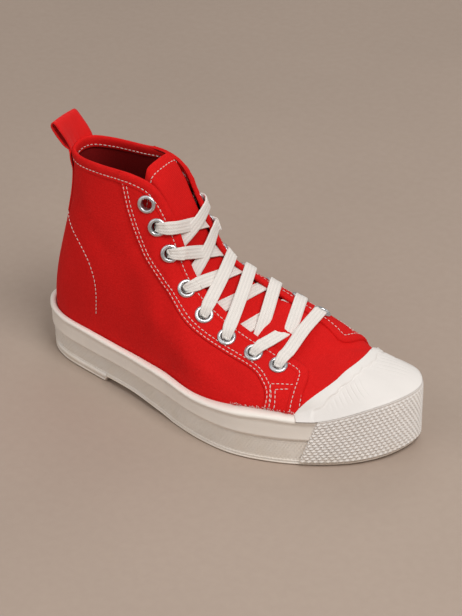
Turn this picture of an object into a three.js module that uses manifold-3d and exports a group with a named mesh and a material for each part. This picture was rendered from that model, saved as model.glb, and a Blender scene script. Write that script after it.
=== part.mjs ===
// Canvas high-top sneaker on a rubber cup sole: a right shoe, millimetres, +Z up.
// It is modelled with the heel near x = 0, the toe at x = LENGTH and the outer
// side at negative y, and the group is then shifted to stand centred on the origin.
import * as THREE from 'three';
import { mergeVertices } from 'three/addons/utils/BufferGeometryUtils.js';
import Module from 'manifold-3d';

const wasm = await Module();
wasm.setup();

// ---------------------------------------------------------------- driving sizes
const LENGTH = 272; // sole, heel to toe
const BALL = 112; // scale of every width: the sole itself comes to 105 at the ball
const COLLAR = 157; // heel height: floor to collar
const CANVAS = 2; // wall of the upper
const GAP = 0.3; // clearance between pieces that meet

const SEAT = 4; // upper stands this far inside the sole's edge
const BED = 15; // height of the upper's lower edge
const BAND_TOP = 35; // height of the side band
const HEEL_LENGTH = 62; // heel block, from the back
const ARCH_END = 128; // where the arch comes back to the floor
const ARCH_RISE = 4; // heel block's and arch's height
const ARCH_CURVE = 2.5; // how long the arch stays high
const FLANGE = 3; // edge of the outsole under the side band
const SPRING_START = 225; // toe spring begins here
const SPRING = 2; // and lifts the toe tip this far
const PAST = 20; // cutters reach this far past the shoe's ends

// ---------------------------------------------------------------- the last
// One row for each section, from the heel to the toe. along and top are parts of
// LENGTH; outer, inner, half and mid are parts of BALL; up is a part of COLLAR.
// outer, inner: sole's edge each side of the middle line. top, mid, half, up: the
// upper's top line, which is collar, then facings, then the front of the throat.
// tilt: how much higher the inner facing stands. rise, out: how the wall leaves
// the sole. reach, drop: how it comes to the top.
const SECTION_COLUMNS = [
  'along', 'outer', 'inner', 'top', 'half', 'mid', 'up', 'tilt', 'rise', 'out', 'reach', 'drop',
];
const SECTIONS = [
  [-0.007, 0.036, -0.036, 0.100, 0.000, -0.018, 1.013, 0, 50, 8, -3, 46],
  [0.022, 0.170, 0.143, 0.110, 0.098, -0.018, 1.006, 0, 50, 8, -2, 46],
  [0.081, 0.258, 0.259, 0.151, 0.152, -0.018, 1.000, 0, 48, 7, 3, 46],
  [0.176, 0.312, 0.304, 0.221, 0.170, -0.018, 1.000, 0, 44, 5, 8, 48],
  [0.312, 0.372, 0.277, 0.309, 0.170, -0.018, 1.000, 0, 40, 3, 10, 48],
  [0.386, 0.418, 0.277, 0.368, 0.152, -0.009, 0.955, 0, 38, 3, 12, 40],
  [0.441, 0.452, 0.281, 0.412, 0.129, -0.014, 0.828, 2, 34, 3, 16, 32],
  [0.551, 0.524, 0.330, 0.467, 0.139, -0.009, 0.592, 4, 30, 3, 24, 18],
  [0.654, 0.546, 0.392, 0.559, 0.156, -0.005, 0.465, 8, 27, 3, 25, 10],
  [0.754, 0.495, 0.392, 0.669, 0.156, -0.005, 0.389, 9, 25, 4, 25, 6],
  [0.846, 0.397, 0.352, 0.750, 0.107, -0.000, 0.357, 6, 27, 6, 25, 4],
  [0.926, 0.268, 0.268, 0.785, 0.000, 0.000, 0.354, 0, 32, 8, 27, 2],
  [0.980, 0.112, 0.185, 0.785, 0.000, 0.000, 0.354, 0, 34, 9, 38, 1],
  [1.004, -0.071, 0.071, 0.785, 0.000, 0.000, 0.354, 0, 34, 9, 42, 1],
].map((row) => Object.fromEntries(row.map((value, k) => [SECTION_COLUMNS[k], value])));
const THROAT_TIP = 11; // first section whose top is the throat's front tip
const HEEL_TO_TOE = SECTIONS.length - 1;
const AROUND = 2 * HEEL_TO_TOE; // stations right round the shoe
const ROWS = 8; // mesh rows up the wall

// The sections of one side as mesh-ready rows; side is -1 outer, +1 inner.
function sideRow(section, side) {
  const edge = side < 0 ? section.outer : section.inner;
  return {
    foot: new THREE.Vector2(section.along * LENGTH, side * edge * BALL),
    top: new THREE.Vector3(
      section.top * LENGTH,
      (section.mid + side * section.half) * BALL,
      section.up * COLLAR + (side > 0 ? section.tilt : 0),
    ),
    rise: section.rise,
    out: section.out,
    reach: section.reach,
    drop: section.drop,
  };
}

const LOOP = [
  ...SECTIONS.map((section) => sideRow(section, -1)),
  ...SECTIONS.slice(1, -1).reverse().map((section) => sideRow(section, 1)),
];

// Catmull-Rom weights through four neighbouring stations.
function blend(station, read) {
  const start = Math.floor(station);
  const f = station - start;
  const weights = [
    (-f + 2 * f * f - f ** 3) / 2,
    (2 - 5 * f * f + 3 * f ** 3) / 2,
    (f + 4 * f * f - 3 * f ** 3) / 2,
    (-f * f + f ** 3) / 2,
  ];
  const row = (k) => LOOP[(start + k - 1 + 2 * AROUND) % AROUND];
  return weights.reduce((sum, weight, k) => sum + weight * read(row(k)), 0);
}

// A point of the sole's outline, moved out by the given distance.
function outline(station, grow = 0) {
  const at = (s) => new THREE.Vector2(blend(s, (r) => r.foot.x), blend(s, (r) => r.foot.y));
  const step = 0.001;
  const along = at(station + step).sub(at(station - step)).normalize();
  const outward = new THREE.Vector2(along.y, -along.x);
  return { point: at(station).addScaledVector(outward, grow), outward };
}

function topPoint(station) {
  const fromToe = Math.abs(station - HEEL_TO_TOE);
  if (fromToe <= HEEL_TO_TOE - THROAT_TIP) {
    return LOOP[THROAT_TIP].top.clone();
  }
  return new THREE.Vector3(
    blend(station, (r) => r.top.x),
    blend(station, (r) => r.top.y),
    blend(station, (r) => r.top.z),
  );
}

// The outer face of the upper: v runs from 0 at the sole to 1 at the top line.
function skin(station, v) {
  const { point, outward } = outline(station, -SEAT);
  const away = new THREE.Vector3(outward.x, outward.y, 0);
  const foot = new THREE.Vector3(point.x, point.y, BED);
  const top = topPoint(station);
  const low = foot.clone().addScaledVector(away, blend(station, (r) => r.out));
  low.z += blend(station, (r) => r.rise);
  const high = top.clone().addScaledVector(away, blend(station, (r) => r.reach));
  high.z -= blend(station, (r) => r.drop);
  return new THREE.CubicBezierCurve3(foot, low, high, top).getPoint(v);
}

function skinNormal(station, v) {
  const fan = Math.abs(station - HEEL_TO_TOE) <= HEEL_TO_TOE - THROAT_TIP + 0.01;
  if (fan && v > 0.999) {
    return new THREE.Vector3(0.05, 0, 1).normalize();
  }
  const ds = 0.01;
  const dv = 0.004;
  const across = skin(station + ds, v).sub(skin(station - ds, v));
  const up = skin(station, Math.min(v + dv, 1)).sub(skin(station, Math.max(v - dv, 0)));
  return across.cross(up).normalize();
}

function offsetSkin(station, v, grow) {
  const normal = skinNormal(station, v);
  if (v < 0.001) {
    normal.setZ(0).normalize();
  }
  return skin(station, v).addScaledVector(normal, grow);
}

// Where the upper's outer face reaches a height, close above the sole.
function skinAtHeight(station, height) {
  let low = 0;
  let high = 0.6;
  for (let k = 0; k < 24; k += 1) {
    const middle = (low + high) / 2;
    if (skin(station, middle).z < height) {
      low = middle;
    } else {
      high = middle;
    }
  }
  return low;
}

// ---------------------------------------------------------------- solids
function meshFrom(points, faces) {
  const geometry = new THREE.BufferGeometry();
  const values = points.flatMap((p) => [p.x, p.y, p.z]);
  geometry.setAttribute('position', new THREE.Float32BufferAttribute(values, 3));
  geometry.setIndex(faces.flat());
  return geometry;
}

// A closed skin over rings of points: every ring has the same count, ring k joins
// ring k + 1, and with wrap the last ring joins the first; otherwise ends are capped.
function ringSolid(rings, wrap) {
  const count = rings[0].length;
  const faces = [];
  const last = wrap ? rings.length : rings.length - 1;
  for (let i = 0; i < last; i += 1) {
    const next = (i + 1) % rings.length;
    for (let j = 0; j < count; j += 1) {
      const k = (j + 1) % count;
      const quad = [i * count + j, i * count + k, next * count + k, next * count + j];
      faces.push([quad[0], quad[1], quad[2]], [quad[0], quad[2], quad[3]]);
    }
  }
  if (!wrap) {
    const end = (rings.length - 1) * count;
    for (let j = 1; j < count - 1; j += 1) {
      faces.push([0, j + 1, j], [end, end + j, end + j + 1]);
    }
  }
  return solid(meshFrom(rings.flat(), faces));
}

// Welds a closed geometry into a solid, turning it right side out if need be.
function solid(geometry) {
  const bare = geometry.index ? geometry.clone() : mergeVertices(geometry);
  bare.deleteAttribute('normal');
  bare.deleteAttribute('uv');
  const welded = mergeVertices(bare, 1e-4);
  const ids = welded.index.array;
  const kept = [];
  for (let i = 0; i < ids.length; i += 3) {
    const [a, b, c] = ids.slice(i, i + 3);
    if (a !== b && b !== c && c !== a) {
      kept.push(a, b, c);
    }
  }
  const build = (order) => new wasm.Manifold(new wasm.Mesh({
    numProp: 3,
    vertProperties: new Float32Array(welded.attributes.position.array),
    triVerts: new Uint32Array(order),
  }));
  const made = build(kept);
  if (made.volume() > 0) {
    return made;
  }
  const flipped = [];
  for (let i = 0; i < kept.length; i += 3) {
    flipped.push(kept[i], kept[i + 2], kept[i + 1]);
  }
  return build(flipped);
}

function geometryOf(piece) {
  const mesh = piece.getMesh();
  const geometry = new THREE.BufferGeometry();
  geometry.setAttribute('position', new THREE.BufferAttribute(new Float32Array(mesh.vertProperties), 3));
  geometry.setIndex(new THREE.BufferAttribute(new Uint32Array(mesh.triVerts), 1));
  return geometry;
}

// A flat outline pushed up along z.
function prism(points, bottom, top) {
  const push = { depth: top - bottom, bevelEnabled: false };
  const geometry = new THREE.ExtrudeGeometry(new THREE.Shape(points), push);
  return solid(geometry.translate(0, 0, bottom));
}

// A side view (x, z) pushed across y from -width to +width.
function sideCut(points, width) {
  const push = { depth: 2 * width, bevelEnabled: false };
  const geometry = new THREE.ExtrudeGeometry(new THREE.Shape(points), push);
  return solid(geometry.rotateX(Math.PI / 2).translate(0, width, 0));
}

function box(size, centre) {
  return solid(new THREE.BoxGeometry(...size).translate(...centre));
}

// Even steps from one value to another, both ends included.
function stations(from, to, count) {
  return Array.from({ length: count + 1 }, (_, k) => from + ((to - from) * k) / count);
}

const FACING_TOP = 5; // station of the collar's corner
const oneSide = [
  ...stations(0, FACING_TOP, 2 * FACING_TOP).slice(0, -1),
  ...stations(FACING_TOP, THROAT_TIP, 3 * (THROAT_TIP - FACING_TOP)).slice(0, -1),
  ...stations(THROAT_TIP, HEEL_TO_TOE, 4),
];
const allAround = [...oneSide, ...oneSide.slice(1, -1).reverse().map((s) => AROUND - s)];

// ---------------------------------------------------------------- sole
const springAt = (x) => SPRING * Math.max(0, (x - SPRING_START) / (LENGTH - SPRING_START)) ** 2;
const archAt = (x) => {
  const fall = THREE.MathUtils.clamp((x - HEEL_LENGTH) / (ARCH_END - HEEL_LENGTH), 0, 1);
  return ARCH_RISE * (1 - fall ** ARCH_CURVE);
};
const flangeTopAt = (x) => FLANGE + archAt(x) + springAt(x);

function outlinePolygon(grow) {
  return stations(0, AROUND, 2 * AROUND).slice(0, -1).map((s) => outline(s, grow).point);
}

// Side view between the floor line, with heel breast, arch and spring, and a roof.
function soleProfile(roof) {
  const floor = [
    [-PAST, 0],
    [HEEL_LENGTH, 0],
    ...stations(HEEL_LENGTH + 1, ARCH_END, 6).map((x) => [x, archAt(x)]),
  ].map(([x, z]) => new THREE.Vector2(x, z));
  const front = stations(SPRING_START, LENGTH + PAST, 6).map((x) => new THREE.Vector2(x, springAt(x)));
  return [...floor, ...front, ...roof.reverse()];
}

function outsole() {
  const roofXs = [-PAST, ...stations(HEEL_LENGTH, ARCH_END, 6), ...stations(SPRING_START, LENGTH + PAST, 6)];
  const flangeRoof = roofXs.map((x) => new THREE.Vector2(x, flangeTopAt(x)));
  const bedRoof = [-PAST, LENGTH + PAST].map((x) => new THREE.Vector2(x, BED - GAP));
  const flange = prism(outlinePolygon(-0.4), -1, BED + 10).intersect(sideCut(soleProfile(flangeRoof), BALL));
  const core = prism(outlinePolygon(-SEAT - 1), -1, BED + 10).intersect(sideCut(soleProfile(bedRoof), BALL));
  return LUGS.reduce((body, lug) => body.subtract(lugGroove(lug)), flange.add(core));
}

// Straight grooves across the tread: first groove, how many, pitch, depth.
const LUGS = [
  { from: 12, count: 4, pitch: 12, width: 3, depth: 1.5 },
  { from: 142, count: 8, pitch: 12, width: 3, depth: 1.5 },
].flatMap(({ from, count, pitch, width, depth }) => Array.from({ length: count }, (_, k) => ({
  x: from + k * pitch, width, depth,
})));

function lugGroove({ x, width, depth }) {
  return box([width, 2 * BALL, 2 * depth], [x, 0, 0]);
}

// The side band's outer face: height above the floor and how far it stands out.
const BAND_FACE = [
  { height: 0, out: 0 },
  { height: 12, out: 0.4 },
  { height: 21, out: 1 },
  { height: 30, out: 1.1 },
  { height: 33.5, out: 1.2 },
  { height: BAND_TOP, out: 0.4 },
];
const BUMPER_TOP = 3; // the face's level where the bumper ends
const BUMPER_END = 224; // where the bumper starts at the floor
const BUMPER_END_TOP = { x: 240, z: 50 }; // and the way its end slants
const AHEAD = 8; // first station that bumper and cap are drawn from

function bandFace(station, level, grow) {
  const { height, out } = BAND_FACE[level];
  const { point } = outline(station, out + grow);
  const bottom = flangeTopAt(point.x) + 0.4;
  return new THREE.Vector3(point.x, point.y, Math.max(height, bottom));
}

function foxing() {
  const clear = 0.4;
  const rings = allAround.map((s) => {
    const outer = BAND_FACE.map((_, level) => bandFace(s, level, 0));
    const inner = [BAND_TOP, 29, 22, BED].map((height) => {
      const p = offsetSkin(s, height > BED ? skinAtHeight(s, height) : 0, clear);
      return p.setZ(height);
    });
    const { point } = outline(s, -SEAT + clear);
    inner.push(new THREE.Vector3(point.x, point.y, flangeTopAt(point.x) + clear));
    return [...outer, ...inner];
  });
  return ringSolid(rings, true);
}

// The bumper strip: two copies of the band's own face, cut off on a slant.
function toeBumper() {
  const thickness = 1.6;
  const levels = stations(0, BUMPER_TOP, BUMPER_TOP);
  const rings = allAround.filter((s) => s >= AHEAD && s <= AROUND - AHEAD).map((s) => [
    ...levels.map((level) => bandFace(s, level, GAP + thickness)),
    ...levels.map((level) => bandFace(s, level, GAP)).reverse(),
  ]);
  const slant = [
    [BUMPER_END, 0],
    [LENGTH + PAST, 0],
    [LENGTH + PAST, BUMPER_END_TOP.z],
    [BUMPER_END_TOP.x, BUMPER_END_TOP.z],
  ].map(([x, z]) => new THREE.Vector2(x, z));
  return ringSolid(rings, false).intersect(sideCut(slant, BALL));
}

// ---------------------------------------------------------------- upper
function wallRings(inset, from, to) {
  return allAround.map((s) => stations(from, to, ROWS).map((v) => offsetSkin(s, v, inset)));
}

function upper() {
  const outside = wallRings(0, 0, 1);
  const inside = wallRings(-CANVAS, 0, 1);
  const rings = outside.map((column, k) => [...column, ...inside[k].reverse()]);
  return eyelets().reduce((wall, { frame }) => wall.subtract(eyeletHole(frame)), ringSolid(rings, true));
}

// The toe cap: the wall's own function twice, outside it, cut along a curved line.
function toeCap() {
  const thickness = 1.5;
  const clear = 0.4;
  const lowest = BAND_TOP + clear;
  const rings = allAround.filter((s) => s >= AHEAD && s <= AROUND - AHEAD).map((s) => {
    const start = skinAtHeight(s, lowest);
    const column = stations(start, 0.96, 8);
    return [
      ...column.map((v) => offsetSkin(s, v, clear + thickness)),
      ...column.map((v) => offsetSkin(s, v, clear)).reverse(),
    ];
  });
  const edge = stations(-60, 70, 16).map((y) => new THREE.Vector2(capLine(y), y));
  const ahead = [...edge, new THREE.Vector2(LENGTH + PAST, 70), new THREE.Vector2(LENGTH + PAST, -60)];
  return ringSolid(rings, false).intersect(prism(ahead, lowest, COLLAR));
}

const capLine = (y) => 237 - 20 * ((y - 5) / 50) ** 2;

// ---------------------------------------------------------------- eyelets
// From the collar down: each eyelet's station, and how far it is from the facing's edge.
const EYELET_STATIONS = [4.65, 5.3, 6.05, 6.9, 7.5, 8.1, 8.65, 9.25];
const EYELET_INSETS = [13.5, 20, 20, 11.5, 12.5, 13, 13, 13];
const EYELET = { hole: 3.7, barrel: 4.2, flange: 6.1, roll: 4.7, lip: 0.7, lift: 1.15 };

// The point a given distance down the wall from its top line.
function belowTop(station, distance) {
  let v = 1;
  let left = distance;
  let here = skin(station, 1);
  while (left > 0) {
    v -= 0.01;
    const next = skin(station, v);
    left -= next.distanceTo(here);
    here = next;
  }
  return v;
}

// A frame with its z along the wall's outward normal and its origin on the wall.
function wallFrame(station, distance) {
  const v = belowTop(station, distance);
  const z = skinNormal(station, v);
  const x = skin(station, v + 0.02).sub(skin(station, v - 0.02)).normalize();
  const y = z.clone().cross(x).normalize();
  return new THREE.Matrix4().makeBasis(x, y, z).setPosition(skin(station, v));
}

function eyelets() {
  return [['outer', -1], ['inner', 1]].flatMap(([word, side]) => EYELET_STATIONS.map((s, k) => {
    const station = side < 0 ? s : AROUND - s;
    const inset = EYELET_INSETS[k];
    return { name: `eyelet_${word}_${k + 1}`, station, inset, frame: wallFrame(station, inset) };
  }));
}

function eyeletHole(frame) {
  const drill = new THREE.CylinderGeometry(EYELET.barrel + GAP, EYELET.barrel + GAP, 12, 10);
  return solid(drill.rotateX(Math.PI / 2).applyMatrix4(frame));
}

function eyelet({ frame }) {
  const under = -CANVAS - EYELET.lift;
  const profile = [
    [EYELET.hole, under - 0.5],
    [EYELET.roll, under - 0.3],
    [EYELET.barrel, under],
    [EYELET.barrel, EYELET.lift],
    [EYELET.flange, EYELET.lift],
    [EYELET.hole + 0.6, EYELET.lift + EYELET.lip],
    [EYELET.hole, EYELET.lift + 0.3],
    [EYELET.hole, under - 0.5],
  ].map(([r, z]) => new THREE.Vector2(r, z));
  return solid(new THREE.LatheGeometry(profile, 12).rotateX(Math.PI / 2).applyMatrix4(frame));
}

// ---------------------------------------------------------------- inside and back
const INSOLE = 3.5; // thickness
// depth: under the facings. lap: how far past their edges. crown: how much its
// middle bulges. corner: how fast its upper edge falls off. above: rows past the collar.
const TONGUE = { depth: 7.2, thickness: 2.4, lap: 20, crown: 0.6, corner: 0.25, above: [10, 21] };

function insole() {
  return prism(outlinePolygon(-SEAT - CANVAS - 0.9), BED, BED + INSOLE);
}

// One section across the tongue, from under the outer facing to under the inner one.
function tongueSection(station, depth) {
  const under = (s) => stations(belowTop(s, TONGUE.lap), 1, 3).map((v) => offsetSkin(s, v, -depth));
  const outer = under(station);
  const inner = under(AROUND - station).reverse();
  const normal = skinNormal(station, 1).add(skinNormal(AROUND - station, 1)).normalize();
  const bridge = [0.33, 0.67].map((f) => (
    outer[3].clone().lerp(inner[0], f).addScaledVector(normal, TONGUE.crown)
  ));
  return [...outer, ...bridge, ...inner];
}

function tongue() {
  const face = (depth) => {
    const sections = stations(10.4, FACING_TOP + 0.3, 12).map((s) => tongueSection(s, depth));
    const last = sections[sections.length - 1];
    const upward = last[4].clone().sub(sections[sections.length - 3][4]).normalize();
    const corner = (k) => TONGUE.corner * Math.abs(k - (last.length - 1) / 2);
    const rise = (far) => last.map((p, k) => p.clone().addScaledVector(upward, far - corner(k)));
    return [...sections, ...TONGUE.above.map(rise)];
  };
  const front = face(TONGUE.depth);
  const back = face(TONGUE.depth + TONGUE.thickness);
  return ringSolid(front.map((section, k) => [...section, ...back[k].reverse()]), false);
}

const LOOP_TAPE = { width: 26, thickness: 2.4, from: 0.8, top: [20, 174] };

// The pull loop: a flat folded tape up the back seam, leaning back above the collar.
function pullLoop() {
  const seam = stations(LOOP_TAPE.from, 0.97, 4)
    .map((v) => skin(0, v))
    .map((p) => new THREE.Vector2(p.x, p.z));
  const spine = new THREE.SplineCurve([...seam, new THREE.Vector2(...LOOP_TAPE.top)]).getPoints(14);
  const side = (grow) => spine.map((p, k) => {
    const next = spine[Math.min(k + 1, spine.length - 1)];
    const before = spine[Math.max(k - 1, 0)];
    const along = next.clone().sub(before).normalize();
    return p.clone().addScaledVector(new THREE.Vector2(-along.y, along.x), grow);
  });
  const clear = 4 * GAP;
  const profile = [...side(clear), ...side(clear + LOOP_TAPE.thickness).reverse()];
  return sideCut(profile, LOOP_TAPE.width / 2).translate([0, SECTIONS[0].mid * BALL, 0]);
}

// ---------------------------------------------------------------- lace
// over, edge, under, underEdge: heights off the wall at the eyelets and at the
// facing's edge. slant: how far towards the far eyelet it crosses that edge.
const LACE = {
  width: 7.6, thickness: 1.2, over: 4.2, edge: 2.2, under: -5.5, underEdge: -5.1, slant: 0.21,
};
// Each strip runs from one eyelet to another: side and number from the collar, and
// whether that end comes out over the facing or goes in under it.
const STRIPS = {
  lace_bar: [['outer 8 over', 'inner 8 over']],
  lace_cross_1: [['inner 7 over', 'outer 8 under'], ['outer 7 over', 'inner 8 under']],
  lace_cross_2: [['inner 6 over', 'outer 7 under'], ['inner 7 under', 'outer 6 under']],
  lace_top_3: [['outer 6 over', 'inner 5 over']],
  lace_below_3: [['inner 6 under', 'outer 5 under']],
  lace_cross_4: [['outer 5 over', 'inner 4 over'], ['outer 4 over', 'inner 5 under']],
  lace_cross_5: [['outer 3 over', 'inner 4 under'], ['inner 3 over', 'outer 4 under']],
  lace_cross_6: [['inner 2 over', 'outer 3 under'], ['outer 2 over', 'inner 3 under']],
};

function laceEnd(words) {
  const [side, number, way] = words.split(' ');
  const { station, inset } = eyelets().find((one) => one.name === `eyelet_${side}_${number}`);
  return { station, inset, over: way === 'over' };
}

function laceStrip([from, to]) {
  const a = laceEnd(from);
  const b = laceEnd(to);
  const point = (end, other) => {
    const station = THREE.MathUtils.lerp(end.station, AROUND - other.station, LACE.slant);
    const normal = skinNormal(station, 1);
    const height = end.over ? LACE.edge : LACE.underEdge;
    return { at: skin(station, 1).addScaledVector(normal, height), normal };
  };
  const tip = (end) => {
    const v = belowTop(end.station, end.inset);
    const normal = skinNormal(end.station, v);
    return { at: offsetSkin(end.station, v, end.over ? LACE.over : LACE.under), normal };
  };
  const edges = [point(a, b), point(b, a)];
  const knots = [tip(a), ...edges, tip(b)];
  const path = new THREE.CatmullRomCurve3(knots.map((k) => k.at));
  const rings = stations(0, 1, 8).map((f) => {
    const place = f * (knots.length - 1);
    const slot = Math.min(Math.floor(place), knots.length - 2);
    const up = knots[slot].normal.clone().lerp(knots[slot + 1].normal, place - slot).normalize();
    const along = path.getTangent(f);
    const wide = up.clone().cross(along).normalize().multiplyScalar(LACE.width / 2);
    const thick = along.clone().cross(wide).normalize().multiplyScalar(LACE.thickness / 2);
    const centre = path.getPoint(f);
    return [[1, 1], [-1, 1], [-1, -1], [1, -1]].map(([w, t]) => (
      centre.clone().addScaledVector(wide, w).addScaledVector(thick, t)
    ));
  });
  return ringSolid(rings, false);
}

const lacePiece = (strips) => strips.map(laceStrip).reduce((whole, strip) => whole.add(strip));

// ---------------------------------------------------------------- the group
const COLOURS = {
  canvas: { color: 0xc8201a, roughness: 0.9, metalness: 0 },
  lining: { color: 0xa8a090, roughness: 0.9, metalness: 0 },
  rubber: { color: 0xe9e2d3, roughness: 0.6, metalness: 0 },
  cotton: { color: 0xf2ece2, roughness: 0.9, metalness: 0 },
  metal: { color: 0xc9c7c2, roughness: 0.35, metalness: 1 },
};

const group = new THREE.Group();

function addPiece(name, piece, colour) {
  const mesh = new THREE.Mesh(geometryOf(piece), new THREE.MeshStandardMaterial(COLOURS[colour]));
  mesh.name = name;
  group.add(mesh);
}

addPiece('outsole', outsole(), 'rubber');
addPiece('foxing', foxing(), 'rubber');
addPiece('toe_bumper', toeBumper(), 'rubber');
addPiece('toe_cap', toeCap(), 'rubber');
addPiece('upper', upper(), 'canvas');
addPiece('insole', insole(), 'lining');
addPiece('tongue', tongue(), 'canvas');
addPiece('pull_loop', pullLoop(), 'canvas');
eyelets().forEach((one) => addPiece(one.name, eyelet(one), 'metal'));
Object.entries(STRIPS).forEach(([name, strips]) => addPiece(name, lacePiece(strips), 'cotton'));

// Stand the whole shoe centred on the origin.
const bounds = new THREE.Box3().setFromObject(group);
const middle = bounds.getCenter(new THREE.Vector3());
group.position.set(-middle.x, -middle.y, -bounds.min.z);

export default group;
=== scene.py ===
"""One canvas high-top sneaker, for the right foot, built around its CAD model.

The surface of the shoe is a fan of sections from heel to toe. A station runs
from 0 at the heel to 13 at the toe; a minus sign means the inner side. Along
each section v runs from 0 at the sole to 1 at the top line. Lengths in the
shape functions are millimetres with x from the heel and z from the floor, and
metres() brings them into the model's own frame.
"""
import math
import random
from collections import namedtuple

import bmesh
import bpy
import numpy as np
from bpy.props import FloatProperty, FloatVectorProperty, PointerProperty
from mathutils import Matrix, Quaternion, Vector


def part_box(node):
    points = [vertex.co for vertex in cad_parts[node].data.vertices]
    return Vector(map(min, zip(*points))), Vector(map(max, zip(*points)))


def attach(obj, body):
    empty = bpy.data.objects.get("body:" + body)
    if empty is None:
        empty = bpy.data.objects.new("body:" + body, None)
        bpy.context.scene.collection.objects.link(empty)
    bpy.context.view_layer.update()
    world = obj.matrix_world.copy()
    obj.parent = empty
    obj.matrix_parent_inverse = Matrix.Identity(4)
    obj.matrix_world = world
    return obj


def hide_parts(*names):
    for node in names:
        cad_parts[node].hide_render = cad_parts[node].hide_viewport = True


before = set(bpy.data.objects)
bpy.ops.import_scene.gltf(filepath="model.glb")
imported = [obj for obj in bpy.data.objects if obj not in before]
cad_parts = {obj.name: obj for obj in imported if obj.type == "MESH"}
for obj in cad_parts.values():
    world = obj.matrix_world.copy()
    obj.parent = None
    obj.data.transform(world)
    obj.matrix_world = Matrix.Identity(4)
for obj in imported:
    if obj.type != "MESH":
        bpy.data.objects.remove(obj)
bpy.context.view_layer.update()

bl_info = {
    "name": "Canvas High-Top Sneaker",
    "version": (1, 0, 0),
    "blender": (4, 5, 0),
    "location": "3D View > Sidebar > Sneaker",
    "description": "Builds a laced canvas high-top with a moulded rubber sole",
    "category": "Object",
}

LENGTH = 272.0  # of the sole's outline
BALL = 112.0  # scale of every width: the sole itself comes to 105 at the ball
COLLAR = 157.0  # height of the collar
SEAT = 4.0  # how far the upper's foot stands in from the sole's edge
BED = 15.0  # height at which the upper starts, inside the side band
BAND_TOP = 35.0
FROM_HEEL = np.array([-136.492, 8.283, 0.0])  # the CAD model's shift to the middle of its box


WORD = {-1: "outer", 1: "inner"}  # a side's name


def metres(points):
    """Shoe millimetres into the model's frame."""
    return (np.asarray(points, float) + FROM_HEEL) * 0.001


def unit(ways):
    """Directions at length 1."""
    return ways / np.linalg.norm(ways, axis=-1, keepdims=True)


def stand(flat, z):
    """Flat points with their heights."""
    return np.concatenate([flat, np.asarray(z)[..., None]], -1)


def walked(line):
    """How far along a line each of its points is."""
    return np.concatenate([[0], np.cumsum(np.linalg.norm(np.diff(line, axis=0), axis=1))])


# ------------------------------------------------------------ the shoe's surface
# One row for each section, from the heel to the toe, as parts of the sole's
# length, of its width at the ball and of the collar's height. See Section.
Section = namedtuple("Section", "along outer inner top half mid up tilt rise out reach drop")
SECTIONS = (
    Section(-0.007, 0.036, -0.036, 0.100, 0.000, -0.018, 1.013, 0, 50, 8, -3, 46),
    Section(0.022, 0.170, 0.143, 0.110, 0.098, -0.018, 1.006, 0, 50, 8, -2, 46),
    Section(0.081, 0.258, 0.259, 0.151, 0.152, -0.018, 1.000, 0, 48, 7, 3, 46),
    Section(0.176, 0.312, 0.304, 0.221, 0.170, -0.018, 1.000, 0, 44, 5, 8, 48),
    Section(0.312, 0.372, 0.277, 0.309, 0.170, -0.018, 1.000, 0, 40, 3, 10, 48),
    Section(0.386, 0.418, 0.277, 0.368, 0.152, -0.009, 0.955, 0, 38, 3, 12, 40),
    Section(0.441, 0.452, 0.281, 0.412, 0.129, -0.014, 0.828, 2, 34, 3, 16, 32),
    Section(0.551, 0.524, 0.330, 0.467, 0.139, -0.009, 0.592, 4, 30, 3, 24, 18),
    Section(0.654, 0.546, 0.392, 0.559, 0.156, -0.005, 0.465, 8, 27, 3, 25, 10),
    Section(0.754, 0.495, 0.392, 0.669, 0.156, -0.005, 0.389, 9, 25, 4, 25, 6),
    Section(0.846, 0.397, 0.352, 0.750, 0.107, -0.000, 0.357, 6, 27, 6, 25, 4),
    Section(0.926, 0.268, 0.268, 0.785, 0.000, 0.000, 0.354, 0, 32, 8, 27, 2),
    Section(0.980, 0.112, 0.185, 0.785, 0.000, 0.000, 0.354, 0, 34, 9, 38, 1),
    Section(1.004, -0.071, 0.071, 0.785, 0.000, 0.000, 0.354, 0, 34, 9, 42, 1),
)
THROAT_TIP = 11  # first section whose top is the throat's front tip
HEEL_TO_TOE = len(SECTIONS) - 1
AROUND = 2 * HEEL_TO_TOE  # stations right round the shoe: the outer side, then the inner one


def side_row(section, side):
    """One side of a section as foot x, y, top x, y, z, rise, out, reach and drop, in mm."""
    edge = section.outer if side < 0 else section.inner
    lifted = section.tilt if side > 0 else 0
    return (
        section.along * LENGTH, side * edge * BALL,
        section.top * LENGTH, (section.mid + side * section.half) * BALL,
        section.up * COLLAR + lifted,
        section.rise, section.out, section.reach, section.drop,
    )


LOOP = np.array(
    [side_row(section, -1) for section in SECTIONS]
    + [side_row(section, 1) for section in SECTIONS[-2:0:-1]]
)


def blend(station, columns):
    """Catmull-Rom through the rows of LOOP at these stations."""
    station = np.asarray(station, float)
    start = np.floor(station).astype(int)
    f = (station - start)[..., None]
    a, b, c, d = (LOOP[(start + k) % AROUND][..., columns] for k in (-1, 0, 1, 2))
    return 0.5 * (
        2 * b + (c - a) * f + (2 * a - 5 * b + 4 * c - d) * f * f + (3 * b - a - 3 * c + d) * f ** 3
    )


def outline(station, grow=0.0):
    """Points of the sole's outline moved out by grow, and the way out, both flat."""
    station = np.asarray(station, float)
    step = 0.001
    along = unit(blend(station + step, slice(0, 2)) - blend(station - step, slice(0, 2)))
    outward = np.stack([along[..., 1], -along[..., 0]], -1)
    return blend(station, slice(0, 2)) + outward * np.asarray(grow)[..., None], outward


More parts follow.
